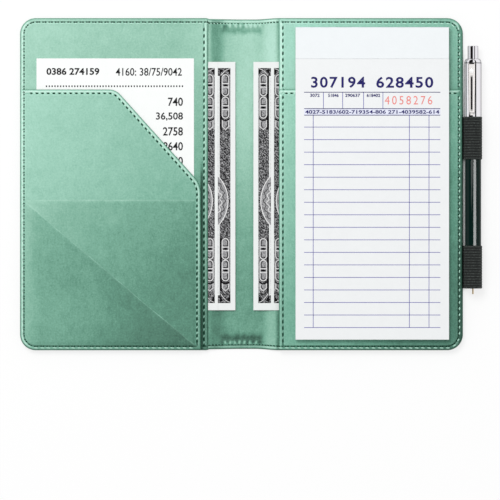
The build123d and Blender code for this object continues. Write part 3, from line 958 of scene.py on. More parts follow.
def stitched(span, edge, seams, low_seam, body, puff, seed, sewn, visible=None, extra=None, glow=0.7):
    """A hemmed sheet, its hem's seam first. sewn gives the distance from where its edge reaches down to
    low_seam, extra gives more (height, shade) from x and y, and glow is how much painted highlight its hem's
    edge takes."""

    def top(x, y, depth):
        height = span.high + rounded_rim(depth, 0.42)
        height += sum(seam.relief(x, y) for seam in seams) + 0.15 * bell(depth, 0.95, 0.55)
        height += 0.1 * cloud(x, y, 22.0, seed) * smooth(depth, 3, 7)
        if extra:
            height += extra(x, y)[0]
        return height + puff * smooth(depth, 2.6, 12.0)

    def bottom(x, y, depth):
        open_low = span.high - FLAP_THICKNESS + (puff - 0.1) * smooth(depth, 2.6, 12.0) * 0.6
        return low_seam + (open_low - low_seam) * smooth(sewn(x, y), 2.4, 3.6)

    def look(x, y, depth):
        away = min(seam.away(x, y) for seam in seams)
        outer = smooth(depth, PERIMETER_INSET + 0.5, PERIMETER_INSET)
        # rim: painted highlight, partly wear, on the rounded edge and beside the seam; shade: painted shade
        # in the seam's groove, deeper towards the foot
        rim = bell(depth, 0.95, 0.6) + (0.3 + 0.6 * outer) * bell(away, 0.9, 0.35)
        low = smooth(-y, 10, 70)
        if book_depth(x, y) < depth + 1.2:
            # At the book's edge the painted light follows the key lamp: less highlight and more painted
            # shade at the head, foot and right side, and painted shade at the very edge
            head = smooth(y, book_top - 3, book_top - 2)
            foot = smooth(-y, book_top - 4, book_top - 2)
            right = smooth(x, book_right - 3, book_right - 2.2)
            rim = rim * (1 - max(0.7 * head, 0.9 * foot, 0.7 * right)) - 0.9 * bell(depth, 0.0, 0.28)
            shade = (0.2 + 0.45 * low) * bell(away, 0, 0.38) + 0.42 * right + 0.12 * head + 0.1 * foot
        else:
            # Elsewhere: painted highlight at the hem's edge and the pucker highlight, less towards the foot,
            # and a painted dark line at the edge
            rim = glow * rim + 1.3 * outer * seams[0].pucker_highlight(x, y)
            rim = (1 - 0.55 * smooth(-y, 40, 90)) * rim - 1.7 * bell(depth, 0.0, 0.42)
            shade = (0.4 + 0.45 * low) * bell(away, 0, 0.38)
        return rim, shade + (extra(x, y)[1] if extra else 0.0)

    shape = leather_sheet(edge, top, bottom, look)
    shape.piece(span.node + "_leather", "leather_" + span.node, body, [span.node], "inner_leather")
    for seam in seams:
        if seam.paired:
            sew_edge(seam, lambda x, y: top(x, y, book_depth(x, y) - REVEAL), *sewn_shapes[body], visible)
        else:
            sew(seam, lambda x, y: span.high - 0.26, *sewn_shapes[body], visible)


def three_sides(near_x, side):
    """The perimeter stitches' line round one cover, open at near_x."""
    inset = REVEAL + PERIMETER_INSET
    far_x = book_left + inset if side < 0 else book_right - inset - 0.35
    line = rectangle(min(far_x, near_x), max(far_x, near_x), book_bottom + inset, book_top - inset,
                     by_side(side, CORNER - inset, 0))
    return opened(line, near_x, 0.6)


def cover_edge(span, side, soft):
    """The outline of a sheet that follows a cover's rounded outer edge."""
    return rectangle(span.left, span.right, span.bottom, span.top, by_side(side, CORNER - REVEAL, soft))


def straight(x0, y0, x1, y1):
    return [Vector((x0, y0)), Vector((x1, y1))]


def pressed_head(span, x, y):
    """How far a flap's head is pressed down where a sheet slides out over it."""
    across = smooth(x, span.left - 5, span.left - 1) * (1 - smooth(x, span.right + 1, span.right + 5))
    return 0.36 * across * smooth(y, book_top - 14, book_top - 4)


def beside_pocket(x, y):
    """The flap is pressed down in the narrow strip beside the receipt pocket, with painted shadow in that
    strip and painted light on the flap beside the hem, most near its top.
    """
    strip = bell(x, receipt_pocket.right + 0.65, 0.55) * (1 - smooth(y, -2, 16))
    painted_bulge_light = smooth(x, -44, -32) * (0.02 + 0.16 * smooth(y, 55, 82))
    return -0.3 * strip - pressed_head(receipt, x, y), 1.35 * strip - painted_bulge_light


hem_x, hem_foot = front_flap.right - HEM_INSET, book_bottom + 2.65
hem_line = straight(hem_x, hem_foot, hem_x, hem_foot + FRONT_HEM_STITCHES * FRONT_HEM_PITCH)
stitched(
    front_flap, cover_edge(front_flap, -1, 0.9),
    [Seam(hem_line, FRONT_HEM_PITCH), Seam(three_sides(front_flap.right, -1), EDGE_PITCH, paired=True)],
    front_lining.high, "front_cover", 0.12, 11.0, book_depth,
    lambda x, y: y > receipt_pocket.top + 0.5 or x > receipt_pocket.right, beside_pocket, glow=0.3,
)
hem_x = back_flap.left + HEM_INSET
hem_line = straight(hem_x, book_top - 1.4, hem_x, book_bottom + 1.4)
stitched(
    back_flap, cover_edge(back_flap, 1, 0.9),
    [Seam(hem_line, HEM_PITCH, start=0.6), Seam(three_sides(back_flap.left, 1), EDGE_PITCH, paired=True)],
    back_lining.high, "back_cover", 0.1, 12.0, book_depth,
    lambda x, y: y > pad_pocket.top + 0.5, lambda x, y: (-pressed_head(pad_card, x, y), 0.0),
)

POCKET_CUT_WIDTH = 49.9
POCKET_CUT_HEIGHT = 97.5


def pocket_outline(inset_edge, inset_hem):
    """The receipt pocket, drawn in by one distance at the book's edge and another at its hem."""
    left, right = receipt_pocket.left + inset_edge, receipt_pocket.right - inset_hem
    bottom, top = receipt_pocket.bottom + inset_edge, receipt_pocket.top - inset_hem
    cut = inset_hem * 0.45
    return outline([
        (left, bottom, CORNER - REVEAL - inset_edge),
        (right, bottom, 0 if inset_hem else 0.9),
        (right, book_bottom + POCKET_CUT_HEIGHT - cut, 14.0 - inset_hem),
        (receipt_pocket.right - POCKET_CUT_WIDTH - cut, top, 9.0 - inset_hem),
        (left, top, 0 if inset_hem else 0.6),
    ])


def on_hem(point):
    """Whether a place on the receipt pocket's seam line belongs to its hem."""
    inset = PERIMETER_INSET + 0.3
    on_sides = point.y < receipt_pocket.bottom + inset or point.x < receipt_pocket.left + inset
    return not on_sides and book_depth(*point) >= REVEAL + inset


line = pocket_outline(PERIMETER_INSET, HEM_INSET - 0.1)
start = [on_hem(point) and not on_hem(line[index - 1]) for index, point in enumerate(line)].index(True)
line = line[start:] + line[:start]
hem_line, rest = [[point for point in line if on_hem(point) == wanted] for wanted in (True, False)]
hem = Seam(hem_line, POCKET_PITCH, start=1.94, hole=(0.85, 0.54), fuller=1.25)
stitched(
    receipt_pocket, pocket_outline(0.0, 0.0), [hem, Seam(rest, EDGE_PITCH, paired=True)],
    front_flap.high, "front_cover", 0.1, 13.0, lambda x, y: min(book_depth(x, y), receipt_pocket.right - x),
)

hem_y, hem_x = pad_pocket.top - HEM_INSET + 0.1, pad_pocket.left + HEM_INSET
hem_line = straight(pad_pocket.left + 0.9, hem_y, pad_pocket.right - 0.9, hem_y)
side_line = straight(hem_x, pad_pocket.top - 0.8, hem_x, pad_pocket.bottom + 1.2)
rest = [point for point in three_sides(pad_pocket.left, 1) if point.y < pad_pocket.top - 0.6]
hem = Seam(hem_line, POCKET_PITCH, hole=(1.05, 0.58))
edge = rectangle(pad_pocket.left, pad_pocket.right, pad_pocket.bottom, pad_pocket.top,
                 (0.6, CORNER - REVEAL, 0.6, 0.6))
stitched(
    pad_pocket, edge, [hem, Seam(side_line, HEM_PITCH), Seam(rest, EDGE_PITCH, paired=True)],
    back_flap.high, "back_cover", 0.05, 14.0, lambda x, y: min(book_depth(x, y), x - pad_pocket.left),
)

LAYER_INSET = 3.1
LAYER_STEP = 1.2
LAYER_DEPTHS = (0.0, 0.15, 0.35, 0.6, 0.9, 1.3, 1.8, 2.5, 3.6)


def raw_layer(span, edge, free_edge, low, seed, step, fade):
    """A thin unhemmed layer sewn in round its outer sides. free_edge gives the distance inside
    its one cut edge, and step is how much deeper in tone it looks than what it lies on."""

    def top(x, y, depth):
        settle = smooth(depth, 0, 2.2) * smooth(free_edge(x, y), 0, 0.9)
        return low + 0.03 + (span.high - low + 0.08 * cloud(x, y, 20.0, seed) + 0.05) * settle

    def look(x, y, depth):
        inside_cut = smooth(free_edge(x, y) + 0.8 * cloud(x, y, 9.0, seed), -0.2, 1.0)
        # A painted highlight along the cut edge; the step is the layer's own deeper tone
        return 0.35 * bell(free_edge(x, y), 0.5, 0.5) * fade(x, y), step * inside_cut * fade(x, y)

    shape = leather_sheet(edge, top, lambda x, y, depth: low - 0.06, look, depths=LAYER_DEPTHS)
    shape.piece(span.node + "_leather", "leather_" + span.node, "front_cover", [span.node], "inner_leather")


layer_left, layer_right = book_left + LAYER_INSET, receipt_pocket.right - LAYER_INSET
layer_bottom = book_bottom + LAYER_INSET
layer_corner = CORNER - LAYER_INSET
diagonal = Vector((corner_pocket.right - corner_pocket.left, corner_pocket.bottom - corner_pocket.top))
diagonal.normalize()


def corner_fade(x, y):
    """How much of its deeper tone the corner pocket shows: less at its left and in its low corner."""
    low_left = smooth(-y, 35, 80) * (1 - smooth(x, -100, -60))
    return (0.35 + 0.65 * smooth(x, layer_left, layer_left + 8)) * (1 - 0.28 * low_left)


def below_diagonal(x, y):
    """The distance below the corner pocket's slanted edge."""
    return (x - corner_pocket.left) * diagonal.y - (y - corner_pocket.top) * diagonal.x


radii = (layer_corner, 0.4, 0.4, 0.4)
raw_layer(
    card_pocket, rectangle(layer_left, layer_right, layer_bottom, card_pocket.top, radii, LAYER_STEP),
    lambda x, y: card_pocket.top - y, receipt_pocket.high + 0.06, 21.0, 0.2,
    lambda x, y: smooth(x, layer_left, layer_left + 22),
)
corners = [
    (layer_left, layer_bottom, layer_corner),
    (corner_pocket.right, layer_bottom, 0.3),
    (layer_left, corner_pocket.top, 0.3),
]
edge = outline(corners, LAYER_STEP)
raw_layer(corner_pocket, edge, below_diagonal, card_pocket.high + 0.02, 22.0, 0.37, corner_fade)

# Stitches along the head and foot of the spine, in two halves like the lining

for label, outer in (("front", front_flap.right), ("back", back_flap.left)):
    holes, threads = Shape(), Shape()
    for end in (1, -1):
        line = []
        for part in range(41):
            x = outer + (book_middle - outer) * part / 40
            line.append(Vector((x, end * (book_top - REVEAL - PERIMETER_INSET - 1.5 * sag(x)))))
        seam = Seam(line, 1.8, start=1.0, hole=(0.74, 0.46), fuller=0.85)
        sew(seam, lambda x, y: lining_low(x) + 0.29, holes, threads, slant=-0.45)
    holes.piece("spine_holes_" + label, "stitch_hole", crease(SIDES[label]), slot="inner_leather")
    threads.piece("spine_thread_" + label, "mint_thread", crease(SIDES[label]), slot="inner_leather")
for body, (holes, threads) in sewn_shapes.items():
    holes.piece("stitch_holes_" + body, "stitch_hole", body, slot="inner_leather")
    threads.piece("stitches_" + body, "mint_thread", body, slot="inner_leather")

# Papers


def block(name, span, finish, body, slot):
    """A plain block that fills a node's box."""
    shape = Shape().bar(span.left, span.right, span.bottom, span.top, span.low, span.high)
    shape.piece(name, finish, body, [span.node], slot)


def paper_stack(name, span, layers, finish, seed):
    """A block of leaves whose sides are a little uneven."""
    shape = Shape()
    chance = random.Random(seed)
    thick = (span.high - span.low) / layers
    for layer in range(layers):
        low = span.low + layer * thick
        left = span.left + chance.uniform(0.0, 0.14)
        right = span.right - chance.uniform(0.0, 0.14)
        bottom = span.bottom + chance.uniform(0.0, 0.16)
        shape.bar(left, right, bottom, span.top, low, low + thick * 0.94)
    shape.piece(name, finish, "check_pad", [span.node], "pad_paper")


block("receipt_sheet", receipt, "receipt_paper", "receipt", "receipt_paper")
for node in ("front_note_under", "front_note_upper", "back_note_under", "back_note_upper"):
    block(node + "_sheet", Span(node), "note_paper", node, "note_paper")
block("check_sheet", top_check, "pad_paper", "top_check", "pad_paper")
paper_stack("pad_leaves", pad_sheets, 12, "pad_paper", 5)
paper_stack("pad_bound_end", Span("pad_stub"), 16, "stub_paper", 6)
edge = rectangle(pad_card.left, pad_card.right, pad_card.bottom, pad_card.top, (0.8, 0.8, 0.3, 0.3), 2.0)
card = Shape().prism(edge, pad_card.low, pad_card.high)
card.piece("pad_card_sheet", "pad_card", "check_pad", ["pad_backing_card"], "pad_card")
block("pad_glue", Span("pad_glue_strip"), "pad_glue", "check_pad", "pad_glue")

# Pen and its loops

pen_upper = Span("pen_upper_barrel")
collar = Span("pen_collar")
button = Span("pen_button")
lower_barrel = Span("pen_lower_barrel")
nose = Span("pen_nose_cone")
clip = Span("pen_clip")
pen_x = (pen_upper.left + pen_upper.right) / 2
pen_z = (pen_upper.low + pen_upper.high) / 2
pen_radius = (pen_upper.right - pen_upper.left) / 2
lower_radius = (lower_barrel.right - lower_barrel.left) / 2


def pen_ring(radius, y, around):
    """Points round the pen's axis."""
    turns = [polar(radius, -2 * math.pi * turn / around) for turn in range(around)]
    return [(pen_x + turn.x, y, pen_z + turn.y) for turn in turns]


LOOP_RIB = 1.58  # from one rib of the elastic to the next
LOOP_AROUND = 72
LOOP_TAPE = 0.5
SEAM_TAPE = 0.7


def pen_loop(node):
    """Ribbed elastic round the pen, with its doubled end in the seam."""
    span = Span(node)
    outer = span.high - pen_z - 0.2
    inner = outer - LOOP_TAPE
    rows = int((span.top - span.bottom) / 0.2)
    outside, bore, ribs = [], [], []
    for row in range(rows + 1):
        y = span.bottom + (span.top - span.bottom) * row / rows
        crest = abs(math.sin(math.pi * (y - span.bottom) / LOOP_RIB))
        edge = rounded_rim(min(y - span.bottom, span.top - y), 0.4, 0.7)
        # Painted highlight on each rib's crest and painted shade between, in the rim value
        ribs += [(0.66 * crest ** 2 - 0.04, 0.0)] * LOOP_AROUND
        outside.append(pen_ring(outer - 0.14 * (1 - crest) + edge, y, LOOP_AROUND))
        bore.append(pen_ring(inner, y, LOOP_AROUND))
    shape = Shape().loft(outside + bore[::-1], True, ribs + ribs[::-1])
    low, high = front_board.high - SEAM_TAPE, front_board.high
    shape.bar(span.left, pen_x - inner * 0.86, span.bottom + 0.1, span.top - 0.1, low, high)
    shape.piece(node + "_tape", "black_elastic", "back_cover", [node], "elastic", sharp=70)


def turned(name, profile, finish, body, nodes, slot="chrome"):
    """A piece turned about the pen's axis from points of (radius, y), closed on itself."""
    shape = Shape().loft([pen_ring(radius, y, 96) for radius, y in profile], closed=True)
    return shape.piece(name, finish, body, nodes, slot, sharp=35)


pen_loop("pen_loop_upper")
pen_loop("pen_loop_lower")

BARREL_WALL = 0.8
BARREL_SOFT = 0.12
barrel_top, barrel_end, soft_radius = pen_upper.top, pen_upper.bottom, pen_radius - BARREL_SOFT
turned(
    "pen_barrel_chrome",
    [(pen_radius - BARREL_WALL, barrel_end)]
    + arc((soft_radius, barrel_end + BARREL_SOFT), BARREL_SOFT, -90, 0, 5)
    + arc((soft_radius, barrel_top - BARREL_SOFT), BARREL_SOFT, 0, 90, 5)
    + [(pen_radius - BARREL_WALL, barrel_top)],
    "chrome", "pen", ["pen_upper_barrel"],
)

BUTTON_RADIUS = 3.1
BUTTON_FLANGE = 3.9
BUTTON_SOFT = 0.45
COLLAR_PLAY = 0.15
COLLAR_LINE = 0.35
collar_bore, collar_start = BUTTON_RADIUS + COLLAR_PLAY, BUTTON_RADIUS + 0.35
plug = pen_radius - 0.85
dome = arc((collar_start, barrel_top), (pen_radius - 0.02 - collar_start, collar.top - barrel_top), 0, 90, 8)
turned(
    "pen_collar_ring",
    [(collar_bore, collar.bottom), (plug, collar.bottom), (plug, barrel_top), *dome,
     (collar_bore, collar.top - 0.15)],
    "chrome", "pen", ["pen_collar"],
)
# A dark ring where the collar meets the barrel: painted shade of the joint's groove
line_radii = (pen_radius - 0.5, pen_radius + 0.01)
line_ends = (barrel_top - 0.05, barrel_top + COLLAR_LINE)
line_profile = [(line_radii[i], line_ends[j]) for i, j in ((0, 0), (1, 0), (1, 1), (0, 1))]
turned("pen_collar_line", line_profile, "clip_slot", "pen", [])

flange_top = button.bottom + 1.8
crown = arc((BUTTON_RADIUS - BUTTON_SOFT, button.top - BUTTON_SOFT), BUTTON_SOFT, 0, 90, 6)
turned(
    "pen_push_button",
    [(0.0, button.bottom), (BUTTON_FLANGE, button.bottom), (BUTTON_FLANGE, flange_top),
     (BUTTON_RADIUS, flange_top), *crown, (0.0, button.top)],
    "chrome", "pen_button", ["pen_button"],
)

SPIGOT_BORE = 3.4
SPIGOT_RADIUS = pen_radius - 0.83
dark_piece = turned(
    "pen_barrel_dark",
    [(SPIGOT_BORE, lower_barrel.top), (SPIGOT_BORE, barrel_end), (3.9, lower_barrel.bottom),
     (lower_radius - 0.2, lower_barrel.bottom), (lower_radius, lower_barrel.bottom + 0.2),
     (lower_radius, barrel_end - 0.3), (lower_radius - 0.15, barrel_end),
     (SPIGOT_RADIUS, barrel_end), (SPIGOT_RADIUS, lower_barrel.top)],
    "dark_barrel", "pen", ["pen_lower_barrel"], "dark_barrel",
)

TIP_BORE, SPRING_BORE, TIP_RADIUS = 1.3, 2.1, 1.6
TIP_LENGTH, TIP_SOFT = 9.0, 0.15
nose_profile = [(TIP_BORE, nose.bottom), (1.5, nose.bottom), (TIP_RADIUS, nose.bottom + TIP_SOFT)]
for share in [part / 10 for part in range(1, 11)]:
    swell = TIP_RADIUS + (lower_radius - TIP_RADIUS) * math.sin(math.pi / 2 * share) ** 0.9
    y = nose.bottom + TIP_SOFT + (nose.top - nose.bottom - 2 * TIP_SOFT) * share
    nose_profile.append((min(swell, lower_radius - 0.02), y))
nose_profile += [(lower_radius - 0.15, nose.top), (SPRING_BORE, nose.top)]
nose_profile += [(SPRING_BORE, nose.bottom + TIP_LENGTH), (TIP_BORE, nose.bottom + TIP_LENGTH)]
turned("pen_nose", nose_profile, "chrome", "pen", ["pen_nose_cone"])

CLIP_DOT = 1.25  # the rivet's radius
CLIP_ROOT = 4.5  # the length of the solid root below the clip's top
CLIP_FOOT = 3.0
CLIP_THICKNESS = 0.5
CLIP_ROWS = 90
CLIP_SHARES = (-1.0, -0.98, -0.93, -0.85, -0.6, -0.34, -0.32, 0.32, 0.34, 0.6, 0.85, 0.93, 0.98, 1.0)
clip_joint = [joint for joint in frame["joints"] if joint["child"] == "pen_clip"][0]
clip_lean = math.atan2(-clip_joint["axis"][2], -clip_joint["axis"][0])


def leaned(points, turn=1):
    """Places about the pen's axis, turned by the clip's lean, or with a turn of -1 back from it."""
    across, up = math.cos(clip_lean), math.sin(clip_lean) * turn
    moved = [(x - pen_x, y, z - pen_z) for x, y, z in points]
    return [(pen_x + x * across - z * up, y, pen_z + x * up + z * across) for x, y, z in moved]


def pen_clip():
    """A sprung steel strip, crowned across, with a slot down it and a foot that comes back to the barrel."""
    solid = [tuple(vertex.co / MM) for vertex in frame["nodes"]["pen_clip"].data.vertices]
    heights = [z for _, _, z in leaned(solid, -1)]
    top, under = max(heights) - 0.25, min(heights)
    slot_top, slot_bottom = clip.top - CLIP_ROOT - 2.6 * CLIP_DOT, clip.bottom + CLIP_FOOT
    rings = []
    for row in range(CLIP_ROWS + 1):
        y = clip.bottom + (clip.top - clip.bottom) * row / CLIP_ROWS
        half = 1.75 + 0.3 * smooth(y, clip.bottom, clip.top - 8)
        half *= math.sqrt(1 - 0.6 * (1 - smooth(y, clip.bottom, clip.bottom + 1.6)))
        droop = 0.5 * smooth(y, clip.top - 0.6, clip.top)
        droop += 0.9 * (1 - smooth(y, clip.bottom - 0.3, clip.bottom + CLIP_FOOT))
        upper, lower = [], []
        for share in CLIP_SHARES:
            crown = top - 0.16 * abs(share) ** 8 - droop
            in_slot = slot_bottom < y < slot_top and abs(share) < 0.33
            depth = 0.4 if in_slot else 0.0
            if in_slot:
                reach = crown - CLIP_THICKNESS
            elif y > clip.top - CLIP_ROOT:
                reach = under
            elif y < clip.bottom + CLIP_FOOT:
                reach = max(under, crown - CLIP_THICKNESS - 0.5 * bell(y, clip.bottom + 1.2, 1.3))
            else:
                reach = crown - CLIP_THICKNESS
            upper.append((pen_x + half * share, y, crown - depth))
            lower.append((pen_x + half * share, y, min(reach, crown - depth - 0.08)))
        rings.append(leaned(lower[::-1] + upper))
    strip = Shape().loft(rings)
    strip = strip.piece("pen_clip_strip", "clip_chrome", "pen_clip", ["pen_clip"], "chrome", sharp=30)
    # A dark bar under the clip's slot: painted shade in the slot
    left, right, low, high = pen_x - 0.55, pen_x + 0.55, top - 0.42, top - 0.36
    base = Shape().bar(left, right, slot_bottom + 0.3, slot_top - 0.3, low, high)
    base.points = leaned(base.points)
    base.piece("pen_clip_slot", "clip_slot", "pen_clip", slot="chrome")
    # The rivet's top is plain white: a painted highlight of the raised rivet
    rivet = []
    for radius, z in ((1.0, top - 0.4), (1.0, top + 0.08), (0.8, top + 0.2), (0.35, top + 0.25)):
        turns = [polar(CLIP_DOT * radius, 2 * math.pi * turn / 40) for turn in range(40)]
        rivet.append(leaned([(pen_x + turn.x, clip.top - CLIP_ROOT + turn.y, z) for turn in turns]))
    Shape().loft(rivet).piece("pen_clip_rivet", "white_enamel", "pen_clip", slot="chrome")
    return strip


clip_piece = pen_clip()

# CAD nodes that keep their shape, with finishes of their own

for node, finish in {
    "front_cover_board": "greyboard", "back_cover_board": "greyboard", "pen_refill": "refill_steel",
    "pen_refill_tip": "refill_brass", "pen_cam": "cam_plastic", "pen_spring": "spring_steel",
}.items():
    for slot in frame["nodes"][node].material_slots:
        slot.link = "OBJECT"
        slot.material = finishes[finish]

# Print. Places are pixels of the photograph, turned into millimetres on the paper: a box is its left,
# right, upper and lower edge.

BOOK_MIDDLE_PIXEL = (241.5, 184.2)  # where the middle of the open book lies in the photograph
PIXEL_MM = 0.5873
INK = 0.02
RECEIPT_HEADS = (
    ("0386 274159", (46.6, 99.5, 68.0, 75.2), 0.03), ("4160: 38/75/9042", (115.8, 182.0, 68.0, 76.0), 0.012),
)
RECEIPT_DOTS = (46.0, 184.0, 85.5, 87.2)
DOT_WIDTH, DOT_PITCH = 1.3, 2.83
RECEIPT_SUMS = ("740", "36,508", "2758", "8640", "950", "18,627")
SUMS_RIGHT, SUMS_TOP, SUM_HEIGHT, SUM_PITCH, GLYPH_WIDTH = 183.0, 97.6, 8.6, 14.8, 5.0
CHECK_HEADS = {"307194": (311.0, 365.0, 77.0, 88.2), "628450": (376.0, 433.0, 77.0, 88.2)}
CHECK_LABELS = {"3072": (310, 319.5), "51846": (328, 338.5), "290637": (345, 360), "618402": (366.5, 380)}
LABEL_TOP, LABEL_FOOT = 93.9, 97.3
NUMBER_BOX = (384.5, 432.0, 96.2, 104.8)
TABLE_LEFT, TABLE_RIGHT, TABLE_TOP, BAND_TOP, BAND_END, TABLE_FOOT = 304.0, 440.0, 92.5, 108.9, 115.4, 327.4
BAND_FIGURES = (TABLE_LEFT + 1, TABLE_RIGHT - 1, 110.2, 114.1)
HEAD_COLUMNS = (323.3, 342.5, 363.4, 382.7)
COLUMNS = (313.1, 409.1, 428.7)
FIRST_ROW, ROWS = 127.3, 17
THIN_RULE, THICK_RULE = 0.3, 0.35  # half their widths


def across_mm(pixel):
    return book_middle + (pixel - BOOK_MIDDLE_PIXEL[0]) * PIXEL_MM


def along_mm(pixel):
    return (BOOK_MIDDLE_PIXEL[1] - pixel) * PIXEL_MM


def printed_box(shape, left, right, upper, lower, level):
    shape.bar(across_mm(left), across_mm(right), along_mm(lower), along_mm(upper), level - INK, level + INK)


def figures(shape, text, box, level, bold=0.0, spacing=1.0):
    """Plain numbers in the built-in face, made to fill a box."""
    left, right, upper, lower = box
    curve = bpy.data.curves.new("figures", "FONT")
    curve.body = text
    curve.offset = bold
    curve.space_character = spacing
    curve.resolution_u = 3
    letters = linked("figures", curve)
    bpy.context.view_layer.update()
    mesh = bpy.data.meshes.new_from_object(letters.evaluated_get(bpy.context.evaluated_depsgraph_get()))
    points = [Vector((v.co.x, v.co.y)) for v in mesh.vertices]
    faces = [list(face.vertices) for face in mesh.polygons]
    bpy.data.objects.remove(letters)
    x0, x1 = min(p.x for p in points), max(p.x for p in points)
    y0, y1 = min(p.y for p in points), max(p.y for p in points)
    wide = (across_mm(right) - across_mm(left)) / (x1 - x0)
    tall = (along_mm(upper) - along_mm(lower)) / (y1 - y0)
    flat = [(across_mm(left) + (p.x - x0) * wide, along_mm(lower) + (p.y - y0) * tall) for p in points]
    count = len(flat)
    sides = {side: None for face in faces for side in pairs(face)}
    walls = [[b, a, count + a, count + b] for a, b in sides if (b, a) not in sides]
    under = [[count + index for index in face[::-1]] for face in faces]
    shape.add([(x, y, level + z) for z in (INK, -INK) for x, y in flat], faces + under + walls)


def print_receipt():
    level = receipt.high
    ink = Shape()
    for text, box, bold in RECEIPT_HEADS:
        figures(ink, text, box, level, bold)
    for row, text in enumerate(RECEIPT_SUMS):
        upper = SUMS_TOP + SUM_PITCH * row
        wide = GLYPH_WIDTH * (len(text) - 0.6 * text.count(","))
        figures(ink, text, (SUMS_RIGHT - wide, SUMS_RIGHT, upper, upper + SUM_HEIGHT), level, 0.018)
    left, right, upper, lower = RECEIPT_DOTS
    while left < right:
        printed_box(ink, left, left + DOT_WIDTH, upper, lower, level)
        left += DOT_PITCH
    ink.piece("receipt_print", "black_ink", "receipt", slot="receipt_paper")


def print_check(name, level, body, number):
    """The rules and numbers of one leaf of the pad, in its inks."""
    inks = {ink: Shape() for ink in ("navy", "lines", "band", "number")}
    for text, box in CHECK_HEADS.items():
        figures(inks["navy"], text, box, level, 0.022, 1.15)
    for text, (left, right) in CHECK_LABELS.items():
        figures(inks["navy"], text, (left, right, LABEL_TOP, LABEL_FOOT), level, 0.03)
    figures(inks["navy"], "4027-5183/602-719354-806 271-4039582-614", BAND_FIGURES, level, 0.025)
    figures(inks["number"], number, NUMBER_BOX, level, spacing=1.35)
    printed_box(inks["band"], TABLE_LEFT, TABLE_RIGHT, BAND_TOP, BAND_END, level - 0.008)
    for y in (TABLE_TOP, BAND_TOP, BAND_END):
        printed_box(inks["navy"], TABLE_LEFT, TABLE_RIGHT, y - THICK_RULE, y + THICK_RULE, level)
    for columns, upper, lower in ((HEAD_COLUMNS, TABLE_TOP, BAND_TOP), (COLUMNS, BAND_END, TABLE_FOOT)):
        for x in columns:
            printed_box(inks["lines"], x - THIN_RULE, x + THIN_RULE, upper, lower, level)
    for row in range(ROWS):
        y = FIRST_ROW + row * (TABLE_FOOT - FIRST_ROW) / (ROWS - 1)
        printed_box(inks["lines"], TABLE_LEFT, TABLE_RIGHT, y - THIN_RULE, y + THIN_RULE, level)
    for (ink, shape), finish in zip(inks.items(), ("navy_ink", "line_ink", "lilac_ink", "red_ink")):
        shape.piece(name + "_print_" + ink, finish, body, slot="pad_paper")


print_receipt()
print_check("check", top_check.high, "top_check", "4058276")
print_check("next_check", pad_sheets.high, "check_pad", "4058277")

# The notes' print: an engraved border of long ovals, a field of fine lines and a rosette, with no words

BORDER = 6.3  # the border's width along the long edges
BORDER_END = 4.6  # and along the short edges
HEAD_MARGIN = 3.65  # plain paper above the print
FOOT_MARGIN = 4.2
OVAL_REACH = 2.0
ROSETTE = 21.0
WAVES = (18.8, 16.9, 15.0, 12.2, 10.4, 7.6, 5.8, 3.2)


